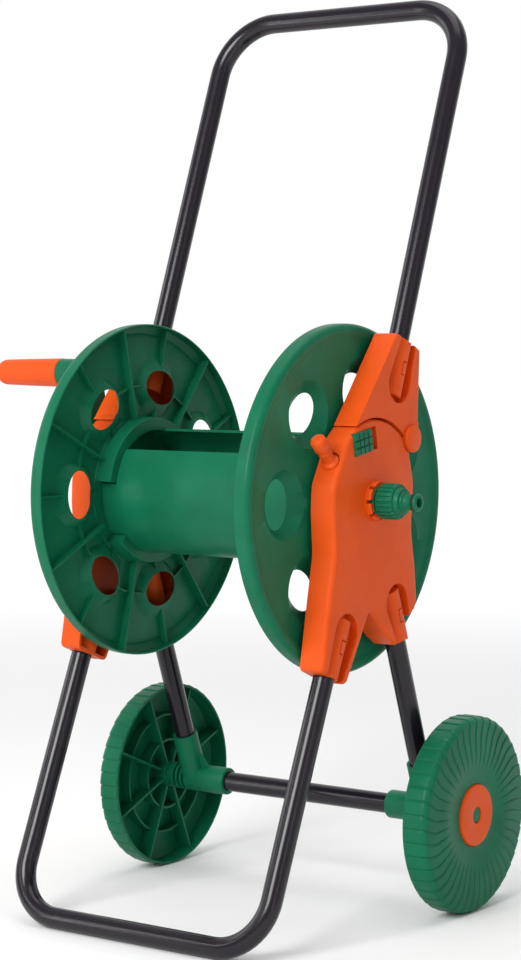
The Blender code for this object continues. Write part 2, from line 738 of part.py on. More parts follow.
def drum_panel(middle):
    """Half of the barrel, with a tab at each end that plugs into the flange's collar."""
    end = COLLAR_X - GAP
    tab_end = WEB_INNER_X - 2 * GAP
    panel = sector(BARREL_R, PANEL_WALL, middle, PANEL_HALF_SPAN, -tab_end, tab_end, 15)
    notch_span = (PANEL_HALF_SPAN - TAB_HALF_SPAN) / 2 + 0.01
    for side in (-1, 1):
        notch = sector(BARREL_R + 0.003, PANEL_WALL + 0.006,
                       middle + side * (TAB_HALF_SPAN + notch_span), notch_span,
                       end, tab_end + 0.002, 5)
        panel = cut(panel, mirrored(notch), notch)
    return panel


def crank_arm():
    """Right-hand shape, mirrored to the left: square shank, arm, boss and grip spindle."""
    pivot = Vector(CRANK_PIVOT)
    lean = math.atan2(pivot.y, pivot.x)
    narrow = math.asin((CRANK_HUB_R - CRANK_BOSS_R) / pivot.length)
    outline = arc((0, 0), CRANK_HUB_R, lean + math.pi / 2 - narrow,
                  lean + 1.5 * math.pi + narrow, 11)
    outline += arc(pivot, CRANK_BOSS_R, lean - math.pi / 2 + narrow, lean + math.pi / 2 - narrow, 9)
    arm = slab(outline, CRANK_ARM_X, CRANK_ARM_X + CRANK_ARM_THICK)
    half = CRANK_SQUARE / 2
    shank_start = WEB_OUTER_X + 0.0085
    boss_end = GRIP_START_X - GAP
    arm = join(arm,
               cylinder((CRANK_HUB_X, 0, 0), (CRANK_ARM_X + CRANK_ARM_THICK + 0.003, 0, 0),
                        CRANK_HUB_R - 0.0005, 20),
               box((shank_start, -half, -half), (CRANK_HUB_X + 0.002, half, half)),
               cylinder(in_space(CRANK_ARM_X + 0.001, pivot), in_space(boss_end, pivot),
                        CRANK_BOSS_R - 0.0004, 20),
               cylinder(in_space(boss_end - 0.002, pivot),
                        in_space(GRIP_END_X - 0.016, pivot), SPINDLE_R, 16))
    arm = cut(arm, cylinder((shank_start - 0.002, 0, 0), (shank_start + 0.022, 0, 0), 0.0026, 16))
    return flipped(arm)


def crank_grip():
    start = GRIP_START_X
    bore = SPINDLE_R + RUNNING
    grip = turned([(start, bore), (start, GRIP_R - 0.0008), (start + 0.001, GRIP_R),
                   (GRIP_END_X - 0.011, GRIP_TIP_R), (GRIP_END_X - 0.005, GRIP_TIP_R - 0.0018),
                   (GRIP_END_X - 0.0015, GRIP_TIP_R - 0.006), (GRIP_END_X, 0.003),
                   (GRIP_END_X, 0), (GRIP_END_X - 0.015, 0), (GRIP_END_X - 0.015, bore)], 20)
    return flipped(grip)


def crank_screw():
    head = WEB_OUTER_X + 0.001 - GAP
    screw = turned([(head - 0.0035, 0), (head - 0.0035, 0.0045), (head - 0.0022, 0.006),
                    (head, 0.006), (head, 0.0023), (head + 0.024, 0.0023), (head + 0.026, 0)], 16)
    return flipped(screw)


def wheel():
    """Right wheel, about its own axis."""
    x0 = WHEEL_INNER_X
    crest = x0 + WHEEL_WIDTH
    turn_x = crest - 0.001 - WHEEL_SHOULDER
    turn_r = WHEEL_R - WHEEL_SHOULDER
    seat = crest - 0.005
    bore = STUB_R + RUNNING
    outer = [(turn_x + WHEEL_SHOULDER * math.sin(a), turn_r + WHEEL_SHOULDER * math.cos(a))
             for a in (math.radians(d) for d in (0, 30, 60, 90))]
    face = crest - WHEEL_FACE_WALL
    profile = [(x0, WHEEL_R - WHEEL_WALL), (x0, WHEEL_R)] + outer + [
        (crest, WHEEL_CREST_R),
        (seat + 0.0015, CAP_R + 0.004), (seat + 0.0015, CAP_R + 0.0006), (seat, CAP_R + 0.0006),
        (seat, bore), (x0 + 0.0005, bore), (x0 + 0.0005, HUB_R), (seat - WHEEL_WALL, HUB_R),
        (seat - WHEEL_WALL, 0.035), (x0 + 0.006, 0.035), (x0 + 0.006, 0.0372),
        (seat - WHEEL_WALL + 0.0006, 0.0372), (face, WHEEL_CREST_R),
        (face, WHEEL_R - 0.0105), (turn_x, WHEEL_R - WHEEL_WALL - 0.001),
    ]
    body = turned(profile, 24)
    for i in range(WHEEL_RIBS):
        turn = 2 * math.pi * (i + 0.5) / WHEEL_RIBS
        body = join(body,
                    box((x0 + 0.004, HUB_R - 0.001, -RIB / 2),
                        (face + GAP, WHEEL_R - WHEEL_WALL + 0.0004, RIB / 2), turn))
    return body


def wheel_cap():
    back = WHEEL_INNER_X + WHEEL_WIDTH - 0.005 + GAP
    face = back + CAP_THICK
    return turned([(back, STUB_R + GAP), (back, CAP_R), (face - 0.0015, CAP_R),
                   (face - 0.0004, CAP_R - 0.0008), (face, CAP_R - 0.0025),
                   (face, STUB_R + 0.0015), (face - 0.001, STUB_R + GAP)], 24)


def wheel_bracket():
    """Right corner piece: cross tube socket, rear leg socket and finned stub axle."""
    inner_x = LEG_X - 0.044
    tube_end = LEG_X - TUBE_R - 0.004
    shoulder = WHEEL_INNER_X + 0.0005 - GAP
    fins = LEG_X + 0.006
    body_r = TUBE_R + 0.004
    cap_face = WHEEL_INNER_X + WHEEL_WIDTH - 0.005 + GAP + CAP_THICK
    profile = [(inner_x, 0), (inner_x, body_r - 0.0012), (inner_x + 0.0012, body_r),
               (fins, body_r)]
    for i in range(3):
        start = fins + 0.0055 * i
        profile += [(start, body_r - 0.004), (start + 0.003, body_r - 0.004),
                    (start + 0.003, body_r), (start + 0.0055, body_r)]
    profile += [(fins + 0.0165, body_r - 0.002), (shoulder, body_r - 0.002), (shoulder, STUB_R),
                (cap_face - 0.002, STUB_R), (cap_face - 0.0012, STUB_R - 0.001),
                (cap_face - 0.0012, 0)]
    unit = []
    for point in profile:
        if not unit or point != unit[-1]:
            unit.append(point)
    body = turned(unit, 16)
    up = along(REAR_LINE)
    top = up * 0.052
    body = join(body, cylinder((LEG_X, 0, 0), in_space(LEG_X, top), SOCKET_R))
    return cut(body,
               cylinder((inner_x - 0.002, 0, 0), (tube_end + GAP, 0, 0), TUBE_R + GAP),
               cylinder(in_space(LEG_X, up * (0.020 - GAP)), in_space(LEG_X, up * 0.06),
                        TUBE_R + GAP))


def inlet_spindle():
    """Fixed hollow shaft in the right plate: bearing of the drum, seal nose and thread."""
    shoulder = PLATE_OUTER_X - PLATE_WALL
    nose = WEB_OUTER_X - 0.0155
    return turned([(nose - 0.018, NIPPLE_BORE_R), (nose - 0.018, 0.0085), (nose - 0.0172, 0.009),
                   (nose - 0.008, 0.009), (nose - 0.008, 0.0075), (nose - 0.0055, 0.0075),
                   (nose - 0.0055, 0.009), (nose, 0.009), (nose, 0.0125),
                   (nose + 0.0018, 0.0125), (nose + 0.0018, BEARING_R),
                   (ADAPTOR_X - 0.002, BEARING_R), (ADAPTOR_X - 0.002, STUB_THREAD_R),
                   (ADAPTOR_X + 0.0105, STUB_THREAD_R), (ADAPTOR_X + 0.0115, STUB_THREAD_R - 0.001),
                   (ADAPTOR_X + 0.0115, NIPPLE_BORE_R)], 20)


def spindle_clip():
    """Retaining ring on the spindle's inner end, which keeps the drum from sliding off."""
    x = WEB_OUTER_X - 0.0155
    ring = tube_x(x + GAP, x + 0.0018 - GAP, 0.0165, 0.0125 + GAP, 16)
    return cut(ring, box((x - 0.001, -0.004, 0.004), (x + 0.003, 0.004, 0.02)))


def seal_ring(x, centre_r, wire_r, steps=16):
    profile = [(x + wire_r * math.cos(a), centre_r + wire_r * math.sin(a))
               for a in (math.pi * i / 3 for i in range(6))]
    return turned(profile, steps)


def inlet_washer():
    """Flat rubber washer between the threaded stub and the adaptor."""
    x = ADAPTOR_X + 0.0115 + GAP
    return tube_x(x, x + 0.0022, STUB_THREAD_R - 0.0005, NIPPLE_BORE_R + 0.001, 16)


def tap_adaptor():
    x = ADAPTOR_X
    tip = x + ADAPTOR_LENGTH
    thread = STUB_THREAD_R + GAP
    floor = x + 0.0115 + 0.0022 + 2 * GAP
    return turned([(x, thread), (x, NUT_R - 0.0006), (x + 0.001, NUT_R),
                   (x + NUT_LENGTH - 0.001, NUT_R), (x + NUT_LENGTH, NUT_R - 0.0015),
                   (x + NUT_LENGTH, 0.0142), (x + NUT_LENGTH + 0.0075, 0.0132),
                   (x + NUT_LENGTH + 0.009, 0.0118), (x + NUT_LENGTH + 0.009, NIPPLE_R),
                   (tip - 0.0056, NIPPLE_R), (tip - 0.0056, 0.0062), (tip - 0.0030, 0.0062),
                   (tip - 0.0030, NIPPLE_TIP_R), (tip - 0.0012, NIPPLE_TIP_R),
                   (tip, NIPPLE_TIP_R - 0.0015), (tip, NIPPLE_BORE_R), (floor, NIPPLE_BORE_R),
                   (floor, thread)], 20)


def drum_elbow():
    """Water elbow that turns with the drum on the spindle's nose and feeds the hose."""
    sleeve_end = WEB_OUTER_X - 0.012
    nose = WEB_OUTER_X - 0.0155
    skirt_r = BEARING_R + 0.005 + GAP
    body = turned([(sleeve_end + 0.005, skirt_r), (sleeve_end + 0.005, skirt_r + 0.0025),
                   (nose - 0.003, skirt_r + 0.0025), (nose - 0.003, 0.013), (nose - 0.037, 0.013),
                   (nose - 0.039, 0.011), (nose - 0.039, 0.0), (nose - 0.0355, 0.0),
                   (nose - 0.0355, 0.0050), (nose - 0.0185, 0.0050),
                   (nose - 0.0185, 0.009 + RUNNING), (nose - GAP, 0.009 + RUNNING),
                   (nose - GAP, skirt_r)], FLANGE_STEPS)
    outlet = OUTLET_DIRECTION
    centre = Vector((OUTLET_X, 0, 0))
    branch = cylinder(centre, centre + outlet * 0.024, 0.0095)
    body = join(body, branch)
    return cut(body, cylinder(centre, centre + outlet * 0.030, 0.0045, 12))


OUTLET_ANGLE = math.radians(106)
OUTLET_DIRECTION = Vector((0, math.cos(OUTLET_ANGLE), math.sin(OUTLET_ANGLE)))
OUTLET_X = WEB_OUTER_X - 0.0155 - 0.0285


def on_outlet(piece):
    """Stands a piece turned about X on the elbow's outlet."""
    turn = Vector((1, 0, 0)).rotation_difference(OUTLET_DIRECTION).to_matrix().to_4x4()
    piece.data.transform(Matrix.Translation((OUTLET_X, 0, 0)) @ turn)
    return piece


def hose_nipple():
    """Barbed tail for the inner end of the hose, seated on the elbow's outlet."""
    base = 0.024 + GAP
    return on_outlet(turned([(base, 0.0040), (base, 0.0092), (base + 0.003, 0.0092),
                             (base + 0.003, 0.0058), (base + 0.008, 0.0058),
                             (base + 0.0095, 0.0068), (base + 0.014, 0.0056),
                             (base + 0.0155, 0.0066), (base + 0.021, 0.0050),
                             (base + 0.021, 0.0040)], 12))


def hose_nut():
    """Union nut that holds the barbed tail on the elbow's outlet."""
    return on_outlet(turned([(0.014, 0.0095 + GAP), (0.014, 0.0130), (0.0295, 0.0130),
                             (0.0305, 0.0118), (0.0305, 0.0058 + GAP), (0.0276, 0.0058 + GAP),
                             (0.0276, 0.0095 + GAP)], 16))


def build_frame():
    handle_end = socket_end(HANDLE_LINE, HANDLE_MOUTH_Z)
    front_end = socket_end(FRONT_LINE, FRONT_MOUTH_Z)
    rear_end = socket_end(REAR_LINE, REAR_MOUTH_Z)
    shift = Vector((0, *FOLD_PIN))
    handle = hoop_path(HANDLE_LINE, handle_end.y, HANDLE_TOP, HANDLE_BEND)
    finish(swept_tube([p - shift for p in handle]), "handle_tube", BLACK_STEEL, FOLD_AXIS)
    finish(swept_tube(hoop_path(FRONT_LINE, front_end.y, HOOP_Z, HOOP_BEND)), "front_hoop_tube",
           BLACK_STEEL)
    foot = Vector((AXLE_Y, AXLE_Z)) + along(REAR_LINE) * 0.020
    leg = swept_tube([in_space(LEG_X, rear_end), in_space(LEG_X, foot)])
    finish(mirrored(leg), "rear_leg_tube_left", BLACK_STEEL)
    finish(leg, "rear_leg_tube_right", BLACK_STEEL)
    reach = LEG_X - TUBE_R - 0.004
    finish(swept_tube([(-reach, AXLE_Y, AXLE_Z), (reach, AXLE_Y, AXLE_Z)]), "cross_tube",
           BLACK_STEEL)


def build_plates():
    finish(side_plate(BEARING_R + GAP, True), "side_plate_right", ORANGE)
    finish(flipped(side_plate(JOURNAL_R + RUNNING, False)), "side_plate_left", ORANGE)
    bracket = handle_bracket()
    bracket.data.transform(Matrix.Translation((0, -FOLD_PIN[0], -FOLD_PIN[1])))
    finish(mirrored(bracket), "handle_bracket_left", ORANGE, FOLD_AXIS)
    finish(bracket, "handle_bracket_right", ORANGE, FOLD_AXIS)
    pin = fold_pin()
    place = (0, *FOLD_PIN)
    finish(mirrored(pin), "fold_pin_left", ORANGE, None, place)
    finish(pin, "fold_pin_right", ORANGE, None, place)
    lock_x = LOCK_FLOOR_X + GAP
    lock = lock_box(0, lock_x, lock_x + LOCK_SIZE[2])
    lock.data.transform(Matrix.Translation((-LEG_X, -LOCK_CENTRE[0], -LOCK_CENTRE[1])))
    finish(mirrored(lock), "fold_lock_left", GREEN, None, (-LEG_X, *LOCK_CENTRE))
    finish(lock, "fold_lock_right", GREEN, None, (LEG_X, *LOCK_CENTRE))
    finish(hose_end_peg(), "hose_end_peg", ORANGE)


def build_wheels():
    axle = (0, AXLE_Y, AXLE_Z)
    for piece, name, look in ((wheel_bracket(), "wheel_bracket", GREEN), (wheel(), "wheel", GREEN),
                              (wheel_cap(), "wheel_cap", ORANGE)):
        finish(mirrored(piece), name + "_left", look, None, axle)
        finish(piece, name + "_right", look, None, axle)


def build_drum():
    finish(right_flange(), "drum_flange_right", GREEN)
    finish(left_flange(), "drum_flange_left", GREEN)
    finish(drum_panel(PANEL_MIDDLE), "drum_panel_front", GREEN)
    finish(drum_panel(PANEL_MIDDLE + math.pi), "drum_panel_rear", GREEN)
    finish(crank_arm(), "crank_arm", GREEN)
    finish(crank_screw(), "crank_screw", STEEL)
    finish(crank_grip(), "crank_grip", ORANGE, None, (0, *CRANK_PIVOT))


def build_inlet():
    finish(inlet_spindle(), "inlet_spindle", GREEN)
    finish(spindle_clip(), "spindle_clip", STEEL)
    finish(seal_ring(WEB_OUTER_X - 0.0155 - 0.00675, 0.0084, 0.00085), "spindle_o_ring", RUBBER)
    finish(inlet_washer(), "inlet_washer", RUBBER)
    finish(tap_adaptor(), "tap_adaptor", GREEN)
    finish(seal_ring(ADAPTOR_END_X - 0.0043, 0.0076, 0.0011), "nipple_o_ring", RUBBER)
    finish(drum_elbow(), "drum_elbow", GREEN)
    finish(hose_nipple(), "hose_nipple", GREEN)
    finish(hose_nut(), "hose_nut", GREEN)


build_frame()
build_plates()
build_wheels()
build_drum()
build_inlet()
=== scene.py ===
# Garden hose reel cart: fine surfaces, finishes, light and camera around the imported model.
# Everything is in metres. Shapes are drawn from the drum's axis at the middle of the cart.
import json
import math

import bmesh
import bpy
from mathutils import Matrix, Vector


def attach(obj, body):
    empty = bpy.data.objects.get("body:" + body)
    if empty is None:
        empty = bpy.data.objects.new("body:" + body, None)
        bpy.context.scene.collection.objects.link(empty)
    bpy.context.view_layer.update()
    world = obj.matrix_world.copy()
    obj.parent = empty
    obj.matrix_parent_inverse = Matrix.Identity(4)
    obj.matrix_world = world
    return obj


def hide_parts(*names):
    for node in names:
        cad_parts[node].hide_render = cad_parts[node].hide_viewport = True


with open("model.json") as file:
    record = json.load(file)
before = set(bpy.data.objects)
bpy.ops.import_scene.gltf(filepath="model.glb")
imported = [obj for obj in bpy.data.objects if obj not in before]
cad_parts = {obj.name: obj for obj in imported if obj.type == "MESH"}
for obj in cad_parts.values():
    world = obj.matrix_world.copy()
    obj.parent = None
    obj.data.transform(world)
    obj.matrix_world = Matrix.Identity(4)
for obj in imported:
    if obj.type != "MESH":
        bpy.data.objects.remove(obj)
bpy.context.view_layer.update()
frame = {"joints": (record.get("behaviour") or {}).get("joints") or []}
joint_at = {joint["name"]: Vector(joint["pos_m"]) for joint in frame["joints"]}
drum_centre = joint_at["drum_spin"]
mm = 0.001


# Bent tubes
# The handle, the front hoop, the rear legs and the cross bar are 20 mm steel tube, bent cold and then
# powder coated in a very dark aubergine. The open ends sit deep inside the plastic sockets.
leg_x = 144 * mm
tube_radius = 10 * mm
handle_line = (2.3 * mm, 0.374)
front_line = (1.1 * mm, 0.426)
rear_line = (4.1 * mm, -0.370)
front_mouth = -160 * mm
rear_mouth = -140 * mm
handle_mouth = 149 * mm
socket_depth = 52 * mm
wheel_radius = 96 * mm
floor_drop = 407 * mm
axle_z = wheel_radius - floor_drop
axle_y = rear_line[0] + rear_line[1] * axle_z


def linear(code):
    """An sRGB hex colour as linear red, green, blue and alpha."""
    channels = [int(code[i:i + 2], 16) / 255 for i in (1, 3, 5)]
    return [c / 12.92 if c <= 0.04045 else ((c + 0.055) / 1.055) ** 2.4 for c in channels] + [1.0]


def add_node(tree, kind, settings, links=()):
    """Adds a node, sets its values, and links its named inputs to other nodes' sockets."""
    node = tree.nodes.new(kind)
    for name, value in settings.items():
        if name in node.inputs:
            node.inputs[name].default_value = value
        else:
            setattr(node, name, value)
    for name, socket in links:
        tree.links.new(socket, node.inputs[name])
    return node


def new_finish(name, colour, roughness, metallic=0.0, **sockets):
    """A material with its Principled shader's plain values set, ready for its pattern."""
    material = bpy.data.materials.new(name)
    material.use_nodes = True
    tree = material.node_tree
    shader = tree.nodes["Principled BSDF"]
    shader.inputs["Base Color"].default_value = linear(colour)
    shader.inputs["Roughness"].default_value = roughness
    shader.inputs["Metallic"].default_value = metallic
    for socket, value in sockets.items():
        shader.inputs[socket.replace("_", " ")].default_value = value
    return material, tree, shader


def cloud_roughness(tree, shader, size, detail, low, high):
    """Varies the roughness between two values, in soft clouds of a size in metres."""
    place = add_node(tree, "ShaderNodeTexCoord", {})
    cloud = add_node(tree, "ShaderNodeTexNoise", {"Scale": 1 / size, "Detail": detail},
                     [("Vector", place.outputs["Object"])])
    rough = add_node(tree, "ShaderNodeMapRange", {"To Min": low, "To Max": high},
                     [("Value", cloud.outputs["Fac"])])
    tree.links.new(rough.outputs["Result"], shader.inputs["Roughness"])


def fine_relief(tree, shader, size, strength, height):
    """Bumps of a size and height in metres. Gives the noise that they come from."""
    place = add_node(tree, "ShaderNodeTexCoord", {})
    grain = add_node(tree, "ShaderNodeTexNoise", {"Scale": 1 / size, "Detail": 2.0},
                     [("Vector", place.outputs["Object"])])
    bump = add_node(tree, "ShaderNodeBump", {"Strength": strength, "Distance": height},
                    [("Height", grain.outputs["Fac"])])
    tree.links.new(bump.outputs["Normal"], shader.inputs["Normal"])
    return grain


def powder_coated_steel():
    """Powder coat, fused and glossy: the film flows into a soft orange peel of about 2 mm."""
    material, tree, shader = new_finish("powder_coated_steel", "#18121B", 0.2,
                                        Specular_IOR_Level=0.4)
    fine_relief(tree, shader, 2 * mm, 0.05, 0.05 * mm)
    cloud_roughness(tree, shader, 30 * mm, 3.0, 0.16, 0.25)
    return material, "black_painted_tube"


def to_mesh(bm, name):
    """A mesh made from a bmesh, which is used up."""
    mesh = bpy.data.meshes.new(name)
    bm.to_mesh(mesh)
    bm.free()
    return mesh


def new_object(name, data):
    thing = bpy.data.objects.new(name, data)
    bpy.context.scene.collection.objects.link(thing)
    return thing


def moved(bm, step):
    bmesh.ops.translate(bm, verts=bm.verts, vec=step)
    return bm


def make_piece(bm, name, finish, body, nodes, sharp=34, bevel=0.0):
    """Turns a bmesh drawn about the drum's axis into a smooth piece standing for its CAD nodes. Its
    finish is a material and the name of a slot; the slot's name is not used."""
    mesh = to_mesh(moved(bm, drum_centre), name)
    material, slot = finish
    mesh.materials.append(material)
    mesh.shade_smooth()
    mesh.set_sharp_from_angle(angle=math.radians(sharp))
    piece = new_object(name, mesh)
    if bevel:
        edge = piece.modifiers.new("moulded_edge", "BEVEL")
        edge.width = bevel
        edge.segments = 2
        edge.limit_method = "ANGLE"
        edge.angle_limit = math.radians(sharp)
        edge.use_clamp_overlap = True
    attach(piece, body)
    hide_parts(*nodes)
    return piece


def direction_up(line):
    return Vector((0, line[1], 1)).normalized()


def on_line(line, z, x=leg_x):
    return Vector((x, line[0] + line[1] * z, z))


def tube_along(start, runs, bend_radius, sides=40):
    """A round tube from a point, along straight runs of (direction, length) with bends between."""
    bm = bmesh.new()
    first = runs[0][0]
    turn = Vector((0, 0, 1)).rotation_difference(first).to_matrix().to_4x4()
    bmesh.ops.create_circle(bm, segments=sides, radius=tube_radius, cap_ends=False,
                            matrix=Matrix.Translation(start) @ turn)
    rim = list(bm.edges)
    here = Vector(start)
    for i, (direction, length) in enumerate(runs):
        made = bmesh.ops.extrude_edge_only(bm, edges=rim)["geom"]
        verts = [g for g in made if isinstance(g, bmesh.types.BMVert)]
        rim = [g for g in made if isinstance(g, bmesh.types.BMEdge)
               and all(v in verts for v in g.verts)]
        bmesh.ops.translate(bm, verts=verts, vec=direction * length)
        here = here + direction * length
        if i + 1 < len(runs):
            onward = runs[i + 1][0]
            angle = direction.angle(onward)
            axis = direction.cross(onward).normalized()
            centre = here + axis.cross(direction) * bend_radius
            made = bmesh.ops.spin(bm, geom=rim, cent=centre, axis=axis, angle=angle, steps=14,
                                  use_duplicate=False)["geom_last"]
            rim = [g for g in made if isinstance(g, bmesh.types.BMEdge)]
            here = centre + Matrix.Rotation(angle, 3, axis) @ (here - centre)
    ends = [e for e in bm.edges if e.is_boundary]
    bmesh.ops.holes_fill(bm, edges=ends)
    bmesh.ops.recalc_face_normals(bm, faces=bm.faces)
    return bm


def bent_hoop(line, open_z, bar_z, bend_radius):
    """A U of tube: up or down one leg, across the bar and back along the other leg."""
    along = direction_up(line) * math.copysign(1, bar_z - open_z)
    leg = (on_line(line, bar_z) - on_line(line, open_z)).length - bend_radius
    left = Vector((-1, 0, 0))
    runs = [(along, leg), (left, 2 * (leg_x - bend_radius)), (-along, leg)]
    return tube_along(on_line(line, open_z), runs, bend_radius)


def inside_socket(line, mouth_z):
    """Height at which a tube ends inside its socket."""
    return mouth_z + direction_up(line).z * math.copysign(socket_depth, -mouth_z)


steel_coat = powder_coated_steel()
make_piece(bent_hoop(handle_line, inside_socket(handle_line, handle_mouth), 479 * mm, 56 * mm),
           "handle_bow", steel_coat, "handle", ["handle_tube"])
make_piece(bent_hoop(front_line, inside_socket(front_line, front_mouth), tube_radius - floor_drop,
                     50 * mm),
           "front_bow", steel_coat, "frame", ["front_hoop_tube"])
leg_foot = Vector((0, axle_y, axle_z)) + direction_up(rear_line) * 20 * mm
for side, word in ((-1, "left"), (1, "right")):
    leg_top = on_line(rear_line, inside_socket(rear_line, rear_mouth), side * leg_x)
    run = leg_foot + Vector((side * leg_x, 0, 0)) - leg_top
    make_piece(tube_along(leg_top, [(run.normalized(), run.length)], 0), "rear_leg_" + word,
               steel_coat, "frame", ["rear_leg_tube_" + word])
bar_end = leg_x - tube_radius - 4 * mm
make_piece(tube_along(Vector((-bar_end, axle_y, axle_z)), [(Vector((1, 0, 0)), 2 * bar_end)], 0),
           "rear_cross_bar", steel_coat, "frame", ["cross_tube"])


# Side housings
# Two orange polypropylene mouldings, open towards the drum, hold the hoop and the rear legs in round
# covers that stand in pockets. Snap tongues beside the covers lock the tubes. Each has a stiff outer
# skin with a soft rolled edge, a slot for the green lock and a slotted collar about the drum's shaft.
inner_x = 131 * mm
outer_x = 156.5 * mm
skin = 3 * mm
edge_roll = 4.5 * mm
dome_radius = 76 * mm
pocket_depth = 8.5 * mm
cover_radius = 12.8 * mm
fold_pin_at = (62.7 * mm, 55.7 * mm)
fold_pin_radius = 4.5 * mm
cheek_radius = 12.8 * mm
cheek_x = outer_x - 5 * mm
ear_x = inner_x + 6 * mm
lock_at = (-23 * mm, 55 * mm)
lock_size = (29 * mm, 21 * mm)
lock_tilt = math.radians(10)
lock_travel = 10 * mm
lock_floor = outer_x - 6.2 * mm
shaft_radius = {"left": 15.4 * mm, "right": 14.3 * mm}
peg_foot = Vector((leg_x, -56.5 * mm, 37.5 * mm))
peg_direction = Vector((0, -0.72, 0.694)).normalized()
rib = 2.2 * mm


def moulded_polypropylene(name, slot, light, deep, roughness):
    """Injection-moulded polypropylene: satin from a spark-eroded mould, so a fine even grain, with
    faint cloudy flow of colour. The 0.5 mm grain is drawn at 0.9 mm, or it would not show."""
    material, tree, shader = new_finish(name, light, roughness, IOR=1.49, Specular_IOR_Level=0.16,
                                        Subsurface_Weight=0.04, Subsurface_Scale=1.5 * mm)
    place = add_node(tree, "ShaderNodeTexCoord", {})
    flow = add_node(tree, "ShaderNodeTexNoise", {"Scale": 1 / (45 * mm), "Detail": 3.0,
                                                 "Distortion": 0.6},
                    [("Vector", place.outputs["Object"])])
    tone = add_node(tree, "ShaderNodeValToRGB", {}, [("Fac", flow.outputs["Fac"])])
    tone.color_ramp.elements[0].position = 0.3
    tone.color_ramp.elements[0].color = linear(deep)
    tone.color_ramp.elements[1].position = 0.7
    tone.color_ramp.elements[1].color = linear(light)
    tree.links.new(tone.outputs["Color"], shader.inputs["Base Color"])
    grain = fine_relief(tree, shader, 0.9 * mm, 0.16, 0.04 * mm)
    sheen = add_node(tree, "ShaderNodeMapRange",
                     {"To Min": roughness - 0.05, "To Max": roughness + 0.06},
                     [("Value", grain.outputs["Fac"])])
    tree.links.new(sheen.outputs["Result"], shader.inputs["Roughness"])
    return material, slot


orange = moulded_polypropylene("moulded_orange_polypropylene", "orange_plastic", "#DE5214",
                               "#D44C10", 0.42)
green = moulded_polypropylene("moulded_green_polypropylene", "green_plastic", "#0E6A4A", "#0B5F41",
                              0.38)


def in_mm(points, x=0.0):
    """Points written in millimetres, their first value counted from x."""
    return [(x + first * mm, *(value * mm for value in others)) for first, *others in points]


def arc(centre, radius, start, end, count):
    """Points (y, z) on an arc, its angles measured from +Y towards +Z."""
    step = (end - start) / (count - 1)
    return [(centre[0] + radius * math.cos(start + step * i),
             centre[1] + radius * math.sin(start + step * i)) for i in range(count)]


def rounded(corners, steps=6):
    """An outline of (y, z, radius) corners with each corner replaced by an arc."""
    points = []
    for i, (y, z, radius) in enumerate(corners):
        if radius == 0:
            points.append((y, z))
            continue
        here = Vector((y, z))
        before = Vector(corners[i - 1][:2]) - here
        after = Vector(corners[(i + 1) % len(corners)][:2]) - here
        half = before.angle(after) / 2
        reach = min(radius / math.tan(half), before.length * 0.45, after.length * 0.45)
        radius = reach * math.tan(half)
        centre = here + (before.normalized() + after.normalized()).normalized() * (
            radius / math.sin(half))
        start = here + before.normalized() * reach - centre
        end = here + after.normalized() * reach - centre
        first = math.atan2(start.y, start.x)
        sweep = (math.atan2(end.y, end.x) - first + math.pi) % (2 * math.pi) - math.pi
        points += arc(centre, radius, first, first + sweep, steps + 1)
    return points


def inset(corners, distance):
    """Moves an anticlockwise outline of (y, z, radius) corners inwards."""
    moved = []
    for i, (y, z, radius) in enumerate(corners):
        here = Vector((y, z))
        into = (here - Vector(corners[i - 1][:2])).normalized()
        out = (Vector(corners[(i + 1) % len(corners)][:2]) - here).normalized()
        normal = Vector((-into.y - out.y, into.x + out.x)).normalized()
        spot = here + normal * (distance / normal.dot(Vector((-into.y, into.x))))
        if radius > 0:
            convex = into.x * out.y - into.y * out.x > 0
            radius = max(radius - distance, 1.5 * mm) if convex else radius + distance
        moved.append((spot.x, spot.y, radius))
    return moved


def slab(outline, x0, x1, roll=0.0, crisp=0.0):
    """A plate of an outline of (y, z) points between two planes, its edge at x1 rolled over except
    where it lies within the crisp radius of the drum's axis."""
    bm = bmesh.new()
    bm.faces.new([bm.verts.new((x0, y, z)) for y, z in outline])
    made = bmesh.ops.extrude_face_region(bm, geom=bm.faces[:])["geom"]
    top = [g for g in made if isinstance(g, bmesh.types.BMVert)]
    bmesh.ops.translate(bm, verts=top, vec=(x1 - x0, 0, 0))
    bmesh.ops.recalc_face_normals(bm, faces=bm.faces)
    if roll:
        rim = [e for e in bm.edges if all(abs(v.co.x - x1) < 1e-6 and Vector(v.co.yz).length > crisp
                                          for v in e.verts)]
        bmesh.ops.bevel(bm, geom=rim, offset=roll, offset_type="OFFSET", segments=5, profile=0.5,
                        affect="EDGES", material=-1)
    return bm


def rod(start, end, radius, sides=48):
    """A solid cylinder between two points."""
    start, end = Vector(start), Vector(end)
    bm = bmesh.new()
    turn = Vector((0, 0, 1)).rotation_difference(end - start).to_matrix().to_4x4()
    bmesh.ops.create_cone(bm, cap_ends=True, segments=sides, radius1=radius, radius2=radius,
                          depth=(end - start).length,
                          matrix=Matrix.Translation((start + end) / 2) @ turn)
    return bm


def x_rod(x0, x1, radius, at=(0, 0)):
    """A solid cylinder along X through (y, z)."""
    return rod((x0, *at), (x1, *at), radius)


def block(low, high, turn=0.0, about=(0, 0)):
    """A box, turned about a line along X through (y, z)."""
    low, high = Vector(low), Vector(high)
    pivot = Matrix.Translation((0, about[0], about[1]))
    spot = Matrix.Translation((low + high) / 2) @ Matrix.Diagonal((*(high - low), 1))
    bm = bmesh.new()
    bmesh.ops.create_cube(bm, size=1.0,
                          matrix=pivot @ Matrix.Rotation(turn, 4, "X") @ pivot.inverted() @ spot)
    return bm


